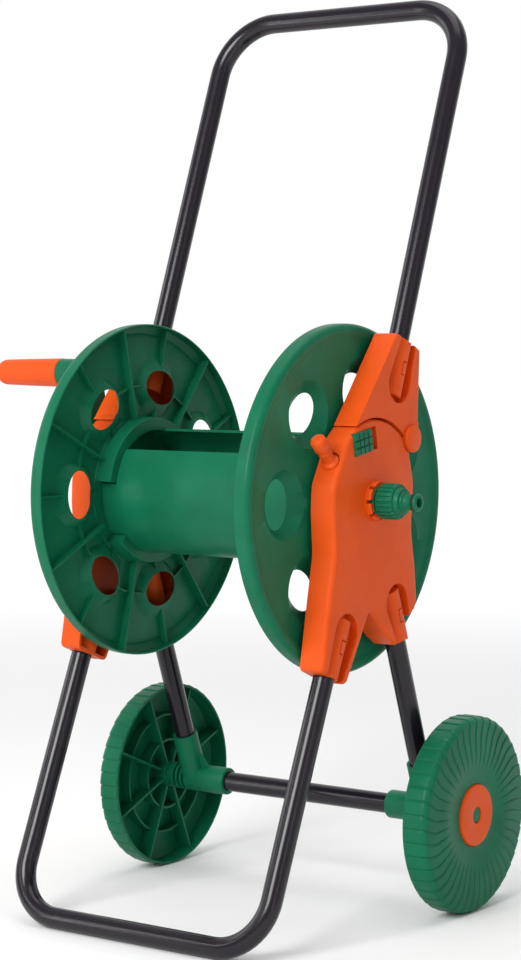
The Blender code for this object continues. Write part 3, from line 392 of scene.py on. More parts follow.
def fuse(bm, tools, operation="UNION"):
    """Joins solids to a solid, or cuts them from it, with exact Booleans. Uses up the solids."""
    for tool in tools:
        pair = [new_object("blank", to_mesh(solid, "blank")) for solid in (bm, tool)]
        step = pair[0].modifiers.new("fuse", "BOOLEAN")
        step.operation = operation
        step.solver = "EXACT"
        step.object = pair[1]
        bpy.context.view_layer.update()
        bm = bmesh.new()
        bm.from_object(pair[0], bpy.context.evaluated_depsgraph_get())
        bmesh.ops.remove_doubles(bm, verts=bm.verts, dist=0.000002)
        for used in pair:
            mesh = used.data
            bpy.data.objects.remove(used)
            bpy.data.meshes.remove(mesh)
    return bm


def cut(bm, tools):
    return fuse(bm, tools, "DIFFERENCE")


def spun(profile, steps=64):
    """A closed profile of (x, radius) points spun about the X axis."""
    bm = bmesh.new()
    points = [bm.verts.new((x, r, 0)) for x, r in profile]
    edges = [bm.edges.new((points[i - 1], points[i])) for i in range(len(points))
             if profile[i][1] > 0 or profile[i - 1][1] > 0]
    bmesh.ops.spin(bm, geom=points + edges, cent=(0, 0, 0), axis=(1, 0, 0), angle=2 * math.pi,
                   steps=steps, use_merge=True, use_duplicate=False)
    bmesh.ops.remove_doubles(bm, verts=bm.verts, dist=0.000002)
    bmesh.ops.recalc_face_normals(bm, faces=bm.faces)
    return bm


def on_side(bm, side):
    """Turns a right-hand piece into the left-hand one, if that is its side."""
    if side == "left":
        bmesh.ops.scale(bm, verts=bm.verts, vec=(-1, 1, 1))
        bmesh.ops.reverse_faces(bm, faces=bm.faces)
    return bm


def socket_rod(line, mouth_z, radius, before, after):
    """A rod on a tube's axis, from before the socket's mouth to after the tube's end."""
    inward = direction_up(line) * math.copysign(1, -mouth_z)
    mouth = on_line(line, mouth_z)
    return rod(mouth - inward * before, mouth + inward * (socket_depth + after), radius)


def pocket(line, mouth_z, margin=0.0):
    """Outline of the recess round a tube cover, its far end round and its mouth open."""
    inward = Vector((line[1], 1)).normalized() * math.copysign(1, -mouth_z)
    side = Vector((direction_up(line).z, -direction_up(line).y))
    centre = on_line(line, mouth_z).yz + inward * (socket_depth - 9 * mm)
    centre.x += math.copysign(2 * mm, line[1] * -mouth_z)
    mouth = on_line(line, mouth_z).yz - inward * 4 * mm
    half = cover_radius + margin
    turn = 1 if mouth_z < 0 else -1
    first = math.atan2(side.y, side.x)
    points = arc(centre, tube_radius + 8.8 * mm + margin, first - turn * 0.15,
                 first + turn * (math.pi + 0.15), 33)
    points += [tuple(mouth - side * half), tuple(mouth + side * half)]
    return points if turn > 0 else points[::-1]


def snap_tongue(line, z):
    """The C-shaped slit that frees a snap tongue in a tube's cover."""
    spot = on_line(line, z).yz
    tilt = math.atan2(1, line[1]) - math.pi / 2
    y, z = spot
    back, low, high = y - 2.6 * mm, z - 7 * mm, z + 7 * mm
    return [block((outer_x - 2.2 * mm, y0, z0), (outer_x + 2 * mm, y1, z1), tilt, spot)
            for y0, z0, y1, z1 in ((back, low, y - 1.5 * mm, high),
                                   (back, z + 5.9 * mm, y + 4 * mm, high),
                                   (back, low, y + 3 * mm, z - 5.9 * mm))]


def lock_block(margin, x0, x1, longer=0.0):
    y, z = lock_at
    return block((x0, y - lock_size[0] / 2 - margin, z - lock_size[1] / 2 - margin),
                 (x1, y + lock_size[0] / 2 + margin + longer, z + lock_size[1] / 2 + margin),
                 lock_tilt, lock_at)


def moulding(corners, sockets, keep, roll, crisp=0.0):
    """The hollow orange skin with its tube covers, pockets and bores."""
    corners = [(y, z, max(radius, roll + 1 * mm) if radius else 0) for y, z, radius in corners]
    body = slab(rounded(corners), inner_x, outer_x, roll, crisp)
    hollow = slab(rounded(inset(corners, skin)), inner_x - 1 * mm, outer_x - skin)
    floor_x = outer_x - pocket_depth
    for line, mouth_z in sockets:
        hollow = cut(hollow, [socket_rod(line, mouth_z, cover_radius, 2 * mm, 4 * mm),
                              slab(pocket(line, mouth_z, skin * 0.8), floor_x - skin * 0.8,
                                   outer_x)])
        recess = slab(pocket(line, mouth_z), floor_x, outer_x + 2 * mm)
        body = cut(body, [cut(recess, [socket_rod(line, mouth_z, cover_radius, 10 * mm, 4 * mm)])])
    body = cut(body, [cut(hollow, keep)])
    return cut(body, [socket_rod(line, mouth_z, tube_radius + 0.3 * mm, 20 * mm, 0.3 * mm)
                      for line, mouth_z in sockets])


def square_to(line):
    """Unit vector (y, z) across a tube, towards the rear."""
    up = direction_up(line)
    return Vector((up.z, -up.y))


def housing_corners():
    """Side view of a housing, anticlockwise seen from outside the right one."""
    def beside(line, z, across, radius, lift=0.0):
        y, z = on_line(line, z).yz + square_to(line) * across
        return y, z + lift, radius

    skirt = tube_radius + 12 * mm
    rear_skirt = cover_radius - 0.5 * mm
    dome = arc((0, 0), dome_radius, math.radians(38), math.radians(116), 24)
    front_edge = in_mm([(-46, 58, 10), (-69, 16, 30), (-70, -10, 40), (-67, -47, 50),
                        (-75, -86, 50)])
    rear_edge = in_mm([(76, -98, 20), (72, -64, 40), (65.5, -30, 60), (69, 14, 40)])
    return [(y, z, 0) for y, z in dome] + front_edge + [
        beside(front_line, front_mouth, -skirt, 5 * mm),
        beside(front_line, front_mouth, skirt, 5 * mm),
        beside(front_line, front_mouth + 37 * mm, tube_radius + 18 * mm, 30 * mm),
        *in_mm([(-7, -102, 5), (24, -131, 12)]),
        beside(rear_line, rear_mouth, -tube_radius - 8 * mm, 6 * mm, 6 * mm),
        beside(rear_line, rear_mouth, rear_skirt, 2 * mm),
        beside(rear_line, rear_mouth + 21 * mm, rear_skirt, 2 * mm),
        beside(rear_line, rear_mouth + 22 * mm, tube_radius + 16 * mm, 5 * mm)] + rear_edge


def collar_ring(bore):
    """The slotted collar of springy petals about the shaft."""
    ring = spun([(outer_x - 1 * mm, bore - 1 * mm)]
                + in_mm([(-1, 18.8), (4.5, 18.8), (6, 17.6)], outer_x)
                + [(outer_x + 6 * mm, bore - 1 * mm)], 72)
    return cut(ring, [block((outer_x + 1.5 * mm, -30 * mm, -1.8 * mm),
                            (outer_x + 7 * mm, 30 * mm, 1.8 * mm), math.pi * i / 4)
                      for i in range(4)])


def peg_rod(start, end, radius):
    return rod(peg_foot + peg_direction * start, peg_foot + peg_direction * end, radius)


def side_housing(bore, with_peg):
    keep = [x_rod(inner_x + 4 * mm, outer_x, bore + 5 * mm),
            lock_block(skin * 0.8, lock_floor - skin * 0.8, outer_x, lock_travel)]
    keep += [block((inner_x + 8 * mm, 10 * mm, -rib / 2), (outer_x, 85 * mm, rib / 2),
                   math.radians(turn)) for turn in (150, 205, 325)]
    if with_peg:
        keep.append(peg_rod(-12 * mm, 10 * mm, 10.5 * mm))
    plate = moulding(housing_corners(), [(front_line, front_mouth), (rear_line, rear_mouth)], keep,
                     edge_roll)
    neck = slab(in_mm([(48, 42), (65.5, 43.5), (71, 52), (52, 62)]), ear_x + 0.5 * mm,
                cheek_x - 0.6 * mm)
    plate = fuse(plate, [neck, x_rod(ear_x, cheek_x, 12 * mm, fold_pin_at)])
    plate = cut(plate, [
        lock_block(0.3 * mm, lock_floor, outer_x + 2 * mm, lock_travel),
        x_rod(cheek_x - 0.3 * mm, outer_x + 2 * mm, cheek_radius + 1.4 * mm, fold_pin_at),
        x_rod(inner_x - 2 * mm, cheek_x + 2 * mm, fold_pin_radius + 0.3 * mm, fold_pin_at)])
    plate = fuse(plate, [collar_ring(bore)])
    plate = cut(plate, [x_rod(inner_x - 2 * mm, outer_x + 10 * mm, bore)])
    if with_peg:
        plate = cut(plate, [peg_rod(-1 * mm, 20 * mm, 9.3 * mm),
                            peg_rod(-20 * mm, 10 * mm, 5.3 * mm)])
    return cut(plate, snap_tongue(front_line, -132 * mm) + snap_tongue(rear_line, -112 * mm))


for side in ("left", "right"):
    plate = on_side(side_housing(shaft_radius[side], side == "right"), side)
    make_piece(plate, "side_housing_" + side, orange, "frame", ["side_plate_" + side],
               bevel=0.5 * mm)


# Handle brackets
# Two more orange mouldings carry the handle's tube ends. Each turns on a headed pin at its rear lower
# corner, so that the handle folds back over the wheels, and its lower edge follows the housing's dome.
def bracket_corners():
    across = square_to(handle_line)
    mouth = on_line(handle_line, handle_mouth).yz
    rear_y = fold_pin_at[0] + cheek_radius
    seam = arc((0, 0), dome_radius + 1.5 * mm, math.radians(115), math.radians(50), 17)
    return [(rear_y, fold_pin_at[1] + 14.5 * mm, 4 * mm), (rear_y + 3 * mm, 140 * mm, 4 * mm),
            (*(mouth + across * (cover_radius - 0.5 * mm)), 4 * mm),
            (*(mouth - across * (tube_radius + 12 * mm)), 4 * mm),
            ] + [(y, z, 0) for y, z in seam] + [(57 * mm, 67.5 * mm, 0)]


def handle_bracket():
    bracket = moulding(bracket_corners(), [(handle_line, handle_mouth)], [], 3 * mm,
                       dome_radius + 3 * mm)
    rear_y = fold_pin_at[0] + cheek_radius
    filler = slab([(50.5 * mm, 58.5 * mm), (60 * mm, 50 * mm), (rear_y - 1 * mm, 56 * mm),
                   (rear_y - 0.2 * mm, 71.5 * mm), (56 * mm, 72.5 * mm)], cheek_x, outer_x)
    bracket = cut(bracket, [x_rod(inner_x - 2 * mm, cheek_x, 12.8 * mm, fold_pin_at)])
    bracket = fuse(bracket, [filler, x_rod(cheek_x, outer_x, cheek_radius, fold_pin_at)])
    bracket = cut(bracket, [x_rod(cheek_x - 5 * mm, outer_x + 2 * mm, fold_pin_radius + 0.3 * mm,
                                  fold_pin_at)])
    return cut(bracket, snap_tongue(handle_line, 123 * mm))


def headed_pin():
    """Moulded pin with a smooth round head, snapped through ear and bracket."""
    head = [(0, 4.5), (0, 13), (2, 13), (3, 12.5), (3.6, 11.2), (3.6, 0)]
    pin = spun(in_mm([(-2, 0), (-2, 4.2), (-1.6, 4.5)], ear_x)
               + in_mm(head, outer_x + 0.3 * mm), 56)
    return moved(pin, (0, *fold_pin_at))


for side in ("left", "right"):
    make_piece(on_side(handle_bracket(), side), "bracket_" + side, orange, "handle",
               ["handle_bracket_" + side], bevel=0.5 * mm)
    make_piece(on_side(headed_pin(), side), "headed_pin_" + side, orange, "frame",
               ["fold_pin_" + side])


# Fold locks
# Green sliders in the housings' slots keep the handle upright. Their outer face is cut into a grid of
# small square pads, which gives the thumb a grip.
def lock_slider():
    x0 = lock_floor + 0.3 * mm
    x1 = x0 + 8.5 * mm
    y, z = lock_at
    slider = lock_block(0, x0, x1)
    bmesh.ops.bevel(slider, geom=slider.edges[:], offset=0.8 * mm, offset_type="OFFSET", segments=2,
                    profile=0.5, affect="EDGES", material=-1)
    half, length = 0.7 * mm, 20 * mm
    grooves = []
    for i in range(1, 4):
        spot = y - lock_size[0] / 2 + lock_size[0] * i / 4
        grooves.append(((x1 - 1.4 * mm, spot - half, z - length),
                        (x1 + 1 * mm, spot + half, z + length)))
    for i in range(1, 3):
        spot = z - lock_size[1] / 2 + lock_size[1] * i / 3
        grooves.append(((x1 - 1.5 * mm, y - length, spot - half),
                        (x1 + 1 * mm, y + length, spot + half)))
    return cut(slider, [block(low, high, lock_tilt, lock_at) for low, high in grooves])


for side, body in (("left", "lock_l"), ("right", "lock_r")):
    make_piece(on_side(lock_slider(), side), "lock_slider_" + side, green, body,
               ["fold_lock_" + side], bevel=0.3 * mm)


# Parking peg
# A turned-looking orange plug stands on the right housing's shoulder. The hose's free end clips on it.
peg_profile = [(-9, 0), (-9, 5), (-0.7, 5), (-0.7, 8.5), (1.2, 8.5), (2.0, 8.0), (2.8, 6.2),
               (3.5, 5.6), (12.6, 5.6), (13.6, 6.0), (14.2, 6.8), (15.8, 6.8), (16.6, 6.2),
               (17.6, 5.9), (18.4, 6.6), (18.9, 7.3), (19.6, 7.6), (29.2, 7.6), (30.8, 7.1),
               (32.2, 5.6), (33.1, 3.0), (33.3, 0)]
peg = spun(in_mm(peg_profile), 56)
peg_turn = Vector((1, 0, 0)).rotation_difference(peg_direction).to_matrix().to_4x4()
bmesh.ops.transform(peg, matrix=Matrix.Translation(peg_foot) @ peg_turn, verts=peg.verts)
make_piece(peg, "parking_peg", orange, "frame", ["hose_end_peg"])


# Winding drum flanges
# Each flange is one green moulding: a rolled lip, ribs on the hose's side, seven dished grip holes, and
# a notched collar for the barrel's tabs. The right hub runs on the water inlet's shaft, and the left
# hub is a journal in the housing, square inside for the crank.
flange_radius = 165 * mm
lip_x = inner_x - 3 * mm
web_outer_x = lip_x - 3 * mm
web_inner_x = web_outer_x - 2.5 * mm
rim_x = lip_x - 15.5 * mm
collar_x = lip_x - 24 * mm
collar_radius = 72 * mm
barrel_radius = 63 * mm
panel_wall = 2.8 * mm
panel_middle = math.radians(196.5)
tab_half_span = math.radians(25)
hole_x = web_outer_x - 9 * mm
hole_ring = 104 * mm
spindle_radius = 14 * mm
journal_radius = 15 * mm
crank_hub_x = outer_x + 6.8 * mm


def together(solids):
    """Puts separate solids in one bmesh, for one Boolean."""
    whole = bmesh.new()
    for solid in solids:
        mesh = to_mesh(solid, "blank")
        whole.from_mesh(mesh)
        bpy.data.meshes.remove(mesh)
    return whole


def dish(base, tangent, radial, base_x, top_x, angle):
    """A cone from a circle on the web to the oval hole nearer the hose."""
    bm = bmesh.new()
    bmesh.ops.create_cone(bm, cap_ends=True, segments=48, radius1=base, radius2=1.0,
                          depth=base_x - top_x)
    bmesh.ops.scale(bm, verts=[v for v in bm.verts if v.co.z > 0], vec=(tangent, radial, 1))
    onto_web = Matrix(((0, 0, -1, (base_x + top_x) / 2), (0, 1, 0, hole_ring), (1, 0, 0, 0),
                       (0, 0, 0, 1)))
    bmesh.ops.transform(bm, matrix=Matrix.Rotation(angle, 4, "X") @ onto_web, verts=bm.verts)
    bmesh.ops.recalc_face_normals(bm, faces=bm.faces)
    return bm


def sector(radius, wall, middle, half_span, x0, x1, count):
    outer = arc((0, 0), radius, middle - half_span, middle + half_span, count)
    inner = arc((0, 0), radius - wall, middle + half_span, middle - half_span, count)
    return slab(outer + inner, x0, x1)


def web_rib(start_r, end_r, x0, angle, thick=rib):
    return block((x0, start_r, -thick / 2), (web_inner_x + 1 * mm, end_r, thick / 2), angle)


def drum_flange(hub):
    lip = flange_radius - 14 * mm
    inner = flange_radius - 2.2 * mm
    roll = [(lip_x - 6 * mm + r, flange_radius - 6 * mm + x) for x, r in
            arc((0, 0), 6 * mm, 0, math.pi / 2, 9)]
    profile = [(rim_x, inner + 0.5 * mm), (rim_x, flange_radius - 0.7 * mm),
               (rim_x + 0.7 * mm, flange_radius)] + roll
    profile += [(lip_x - 0.4 * mm, flange_radius - 8.5 * mm), (web_outer_x + 0.8 * mm, lip + 2 * mm),
                (web_outer_x, lip), (web_outer_x, collar_radius + 1 * mm)] + hub
    profile += [(collar_x, barrel_radius - panel_wall - 0.3 * mm),
                (collar_x, collar_radius - 0.5 * mm), (collar_x + 0.5 * mm, collar_radius),
                (web_inner_x - 1 * mm, collar_radius + 1.2 * mm),
                (web_inner_x, collar_radius + 2.4 * mm), (web_inner_x, lip + 1 * mm),
                (lip_x - 3.5 * mm, flange_radius - 9 * mm),
                (lip_x - 5 * mm, flange_radius - 4.5 * mm), (lip_x - 7 * mm, inner)]
    flange = spun(profile, 140)
    pitch = 2 * math.pi / 7
    turns = [math.pi + pitch * i for i in range(7)]
    flange = fuse(flange, [together([dish(33.5 * mm, 25 * mm, 17.5 * mm, web_outer_x - 0.5 * mm,
                                          hole_x - 0.5 * mm, turn) for turn in turns])])
    long_ribs = [web_rib(collar_radius - 2 * mm, inner + 1 * mm, rim_x + 1.5 * mm, turn + pitch / 2)
                 for turn in turns]
    short_ribs = [web_rib(collar_radius - 2 * mm, inner + 1 * mm, hole_x + 1.2 * mm, turn, 1.8 * mm)
                  for turn in turns]
    ring = spun([(hole_x + 1.6 * mm, hole_ring - 0.9 * mm), (hole_x + 1.6 * mm, hole_ring + 0.9 * mm),
                 (web_inner_x + 1 * mm, hole_ring + 0.9 * mm),
                 (web_inner_x + 1 * mm, hole_ring - 0.9 * mm)], 112)
    flange = fuse(flange, [together(long_ribs + short_ribs), ring])
    flange = cut(flange, [together([dish(32.5 * mm, 22 * mm, 14.5 * mm, web_outer_x + 0.5 * mm,
                                         hole_x - 2 * mm, turn) for turn in turns])])
    slots = [sector(collar_radius + 2 * mm, collar_radius + 4 * mm - barrel_radius + panel_wall,
                    middle, tab_half_span + 0.012, collar_x - 1 * mm, web_inner_x - 0.3 * mm, 25)
             for middle in (panel_middle, panel_middle + math.pi)]
    return cut(flange, [together(slots)])


inside = barrel_radius - panel_wall - 0.3 * mm
right_hub = [(web_outer_x + 4 * mm, inside + 1 * mm),
             *in_mm([(4, 14.4), (-12, 14.4), (-12, 19), (1, 19)], web_outer_x),
             (web_outer_x + 1 * mm, inside)]
make_piece(drum_flange(right_hub), "flange_right", green, "drum",
           ["drum_flange_right"], bevel=0.5 * mm)

journal_end = crank_hub_x - 0.3 * mm
left_hub = [(web_outer_x + 4 * mm, inside + 1 * mm), (web_outer_x + 4 * mm, journal_radius + 4 * mm),
            (inner_x + 3.5 * mm, journal_radius + 4 * mm), (inner_x + 3.5 * mm, journal_radius),
            (journal_end, journal_radius), (journal_end, 0), (web_outer_x + 1 * mm, 0),
            (web_outer_x + 1 * mm, inside)]
square_half = 7.8 * mm
left_flange = cut(drum_flange(left_hub),
                  [block((web_outer_x + 8 * mm, -square_half, -square_half),
                         (journal_end + 2 * mm, square_half, square_half)),
                   x_rod(web_outer_x - 2 * mm, web_outer_x + 10 * mm, 3.1 * mm)])
make_piece(on_side(left_flange, "left"), "flange_left", green, "drum",
           ["drum_flange_left"], bevel=0.5 * mm)


# Barrel
# Two curved green staves make the barrel, with a gap between them for the hose's inner end. Each has a
# narrower tab at both ends that snaps into the flanges' collars.
def barrel_stave(middle):
    end = collar_x - 0.3 * mm
    tab_end = web_inner_x - 0.6 * mm
    half_span = math.radians(59)
    stave = sector(barrel_radius, panel_wall, middle, half_span, -tab_end, tab_end, 57)
    reach = (half_span - tab_half_span) / 2 + 0.01
    notches = []
    for side in (-1, 1):
        notch_middle = middle + side * (tab_half_span + reach)
        for x0, x1 in ((end, tab_end + 2 * mm), (-tab_end - 2 * mm, -end)):
            notches.append(sector(barrel_radius + 3 * mm, panel_wall + 6 * mm, notch_middle, reach,
                                  x0, x1, 17))
    return cut(stave, [together(notches)])


for turn, word in ((0, "front"), (math.pi, "rear")):
    make_piece(barrel_stave(panel_middle + turn), "barrel_stave_" + word, green, "drum",
               ["drum_panel_" + word], bevel=0.6 * mm)


# Crank
# A green arm with a square shank is drawn into the left flange by a screw from the drum's side. The
# orange grip turns freely on the spindle that is moulded on the arm.
crank_pivot = Vector((-20 * mm, 116 * mm))
arm_x = crank_hub_x + 4.7 * mm
arm_thick = 10 * mm
grip_start = outer_x + 50.2 * mm
grip_end = grip_start + 84 * mm


def crank():
    lean = math.atan2(crank_pivot.y, crank_pivot.x)
    narrow = math.asin(3.5 * mm / crank_pivot.length)
    outline = arc((0, 0), 18 * mm, lean + math.pi / 2 - narrow, lean + 1.5 * math.pi + narrow, 33)
    outline += arc(crank_pivot, 14.5 * mm, lean - math.pi / 2 + narrow,
                   lean + math.pi / 2 - narrow, 29)
    arm = slab(outline, arm_x, arm_x + arm_thick, 1.2 * mm)
    square = 7.5 * mm
    arm = fuse(arm, [x_rod(crank_hub_x, arm_x + arm_thick + 3 * mm, 17.5 * mm),
                     block((web_outer_x + 8.5 * mm, -square, -square),
                           (crank_hub_x + 2 * mm, square, square)),
                     x_rod(arm_x + 1 * mm, grip_start - 0.3 * mm, 14.1 * mm, crank_pivot),
                     x_rod(grip_start - 2 * mm, grip_end - 16 * mm, 6 * mm, crank_pivot)])
    return cut(arm, [x_rod(web_outer_x + 6 * mm, web_outer_x + 30 * mm, 2.6 * mm)])


def hand_grip():
    """A tapered grip with a full round end and a small flat where it was gated."""
    tip = 13 * mm
    end = [(grip_end - 11 * mm + 11 * mm * math.sin(a), 2.5 * mm + (tip - 2.5 * mm) * math.cos(a))
           for a in (math.pi / 2 * i / 9 for i in range(10))]
    grip = spun(in_mm([(0, 6.4), (0, 13.9), (0.6, 14.5), (40, 13.8)], grip_start) + end
                + in_mm([(0, 0), (-15, 0), (-15, 6.4)], grip_end), 72)
    return moved(grip, (0, *crank_pivot))


def bright_steel():
    """Zinc-plated steel, bright and a little cloudy."""
    material, tree, shader = new_finish("zinc_plated_steel", "#B9BBBD", 0.3, 1.0)
    cloud_roughness(tree, shader, 3 * mm, 4.0, 0.22, 0.42)
    return material, "zinc_steel"


zinc = bright_steel()
make_piece(on_side(crank(), "left"), "crank_lever", green, "drum", ["crank_arm"],
           bevel=0.5 * mm)
make_piece(on_side(hand_grip(), "left"), "hand_grip", orange, "grip", ["crank_grip"])
screw_head = web_outer_x + 0.7 * mm
screw = spun(in_mm([(-3.5, 0), (-3.5, 4), (-2.9, 5.2), (-2.0, 6), (0, 6), (0, 2.3), (24, 2.3),
                    (26, 0)], screw_head), 48)
screw = cut(screw, [block((screw_head - 5 * mm, -0.7 * mm, -3.2 * mm),
                          (screw_head - 2 * mm, 0.7 * mm, 3.2 * mm), turn)
                    for turn in (0, math.pi / 2)])
make_piece(on_side(screw, "left"), "shank_screw", zinc, "drum", ["crank_screw"])


# Wheels
# One-piece green mouldings, closed outside and ribbed inside. Shallow shingled bars run across the
# tread and sweep over the face towards the hub. An orange cap snaps over the stub axle's end.
wheel_inner_x = leg_x + 29 * mm
wheel_width = 27 * mm
wheel_crest = wheel_inner_x + wheel_width
crest_radius = 62 * mm
stub_radius = 7.5 * mm
hub_radius = 13 * mm
cap_radius = 30 * mm
cap_seat = wheel_crest - 5 * mm
bars = 44
steps_per_bar = 8


def wheel_shape():
    shoulder_radius = 7.5 * mm
    shoulder = wheel_crest - 1 * mm - shoulder_radius
    face = wheel_crest - 5.5 * mm
    face_top = wheel_radius - shoulder_radius
    profile = [(wheel_inner_x, wheel_radius - 3 * mm), (wheel_inner_x, wheel_radius - 1 * mm)]
    profile += [(wheel_inner_x + x * mm, wheel_radius) for x in (1, 7, 13)]
    profile += arc((shoulder, face_top), shoulder_radius, math.pi / 2, 0, 11)
    for t in (i / 6 for i in range(1, 7)):
        profile.append((wheel_crest - 1 * mm * (1 - t) * (1 - t),
                        face_top + (crest_radius - face_top) * t))
    for t in (i / 8 for i in range(1, 8)):
        profile.append((wheel_crest - 3.5 * mm * t * t * (3 - 2 * t),
                        crest_radius + (cap_radius + 4 * mm - crest_radius) * t))
    profile += in_mm([(1.5, 34), (1.5, 30.6), (0, 30.6), (0, 7.9)], cap_seat)
    profile += in_mm([(0.5, 7.9), (0.5, 13)], wheel_inner_x)
    profile += in_mm([(-3, 13), (-3, 35)], cap_seat)
    profile += in_mm([(6, 35), (6, 37.2)], wheel_inner_x)
    profile += [(cap_seat - 2.4 * mm, 37.2 * mm), (face, 60.6 * mm)]
    profile += in_mm([(10, 61.4), (10, 63.2)], wheel_inner_x)
    profile += [(face, 64 * mm), (face, wheel_radius - 10.5 * mm), (shoulder, wheel_radius - 4 * mm)]
    disc = spun(profile, bars * steps_per_bar)
    disc.normal_update()
    for vert in disc.verts:
        x, radius = vert.co.x, Vector(vert.co.yz).length
        inward = min(max((wheel_radius - radius) / (20 * mm), 0), 1)
        sweep = math.radians(3.5) * inward * inward * (3 - 2 * inward)
        on_face = x > shoulder + 0.1 * mm and radius > 42 * mm and vert.normal.x > 0.02
        on_tread = radius > wheel_radius - 0.1 * mm and x > wheel_inner_x
        if not (on_face or on_tread):
            continue
        angle = math.atan2(vert.co.z, vert.co.y)
        bar = round(angle / (2 * math.pi) * bars * steps_per_bar) % steps_per_bar
        fade = min(max((radius - 44 * mm) / (20 * mm), 0), 1)
        sink = (1.3 * mm if bar == 0 else 0.6 * mm * (1 - bar / (steps_per_bar - 1))) * fade
        vert.co -= vert.normal * sink
        vert.co.yz = Matrix.Rotation(sweep, 2) @ Vector(vert.co.yz)
    ribs = [block((wheel_inner_x + 4 * mm, hub_radius - 1 * mm, -rib / 2),
                  (face + 0.3 * mm, wheel_radius - 2.6 * mm, rib / 2), math.pi * (i + 0.5) / 4)
            for i in range(8)]
    return fuse(disc, ribs)


def hub_cap():
    back = cap_seat + 0.3 * mm
    face = back + 4.1 * mm
    return spun([(back, stub_radius + 0.3 * mm), (back, cap_radius)]
                + in_mm([(-1.5, 30), (-0.9, 29.7), (-0.4, 29.2), (-0.1, 28.4), (0, 27.5), (0, 9),
                         (-0.3, 8.1), (-1, 7.8)], face), 80)


def on_axle(bm):
    return moved(bm, (0, axle_y, axle_z))


for side, body in (("left", "wheel_l"), ("right", "wheel_r")):
    make_piece(on_side(on_axle(wheel_shape()), side), "road_wheel_" + side, green, body,
               ["wheel_" + side], sharp=28)
    make_piece(on_side(on_axle(hub_cap()), side), "hub_cap_" + side, orange, "frame",
               ["wheel_cap_" + side])


# Wheel brackets
# Green corner mouldings join the cross bar and a rear leg, and end in a finned stub axle. A web
# stiffens the corner between the two sockets.
def corner_bracket():
    inner_end = leg_x - 44 * mm
    fins = leg_x + 6 * mm
    body = 14 * mm
    stub_end = cap_seat + 0.3 * mm + 4.1 * mm - 1.2 * mm
    profile = [(inner_end, 0), (inner_end, body - 1.2 * mm), (inner_end + 0.4 * mm, body - 0.4 * mm),
               (inner_end + 1.2 * mm, body), (fins, body)]
    for i in range(3):
        start = fins + 5.5 * mm * i
        profile += [(start, body - 4 * mm), (start + 3 * mm, body - 4 * mm), (start + 3 * mm, body),
                    (start + 5.5 * mm, body)]
    shoulder = wheel_inner_x + 0.2 * mm
    profile += [(fins + 16.5 * mm, body - 2 * mm), (shoulder, body - 2 * mm),
                (shoulder, stub_radius), (stub_end - 0.8 * mm, stub_radius),
                (stub_end, stub_radius - 1 * mm), (stub_end, 0)]
    bracket = spun(profile, 64)
    up = direction_up(rear_line)
    knee = Vector((leg_x, 0, 0))
    web = block((leg_x - 30 * mm, -1.6 * mm, 0), (leg_x, 1.6 * mm, 33 * mm),
                math.atan2(up.z, up.y) - math.pi / 2)
    for vert in web.verts:
        if vert.co.x < leg_x - 20 * mm and vert.co.z > 20 * mm:
            vert.co = Vector((leg_x - 12 * mm, vert.co.y, vert.co.z))
    bracket = fuse(bracket, [rod(knee, knee + up * 52 * mm, 12.8 * mm, 64), web])
    return cut(bracket, [x_rod(inner_end - 2 * mm, leg_x - 13.7 * mm, 10.3 * mm),
                         rod(knee + up * 19.7 * mm, knee + up * 60 * mm, 10.3 * mm)])


for side in ("left", "right"):
    make_piece(on_side(on_axle(corner_bracket()), side), "corner_bracket_" + side, green,
               "frame", ["wheel_bracket_" + side], bevel=0.4 * mm)


# Water inlet
# Water enters by a push-on plug: a ribbed nut screwed on the drum's hollow shaft, a stepped shoulder,
# a neck, and a grooved end with a rubber ring. Inside, an elbow turns with the drum and feeds the hose.
adaptor_x = outer_x + 9 * mm
thread_radius = 13.1 * mm
water_bore = 4.5 * mm
nose_x = web_outer_x - 15.5 * mm


def shaft():
    profile = [(nose_x - 18 * mm, water_bore)]
    profile += in_mm([(-18, 8.5), (-17.2, 9), (-8, 9), (-8, 7.5), (-5.5, 7.5), (-5.5, 9), (0, 9),
                      (0, 12.5), (1.8, 12.5), (1.8, 14)], nose_x)
    profile += in_mm([(-2, 14), (-2, 12)], adaptor_x)
    for i in range(5):
        start = adaptor_x - 1.5 * mm + 2.4 * mm * i
        profile += [(start, 12 * mm), (start + 0.9 * mm, thread_radius),
                    (start + 1.3 * mm, thread_radius), (start + 2.2 * mm, 12 * mm)]
    return spun(profile + [(adaptor_x + 11.5 * mm, 12 * mm), (adaptor_x + 11.5 * mm, water_bore)], 64)


def rubber_ring(x, centre_r, wire_r):
    return spun([(x + wire_r * math.cos(a), centre_r + wire_r * math.sin(a))
                 for a in (math.pi * i / 6 for i in range(12))], 56)


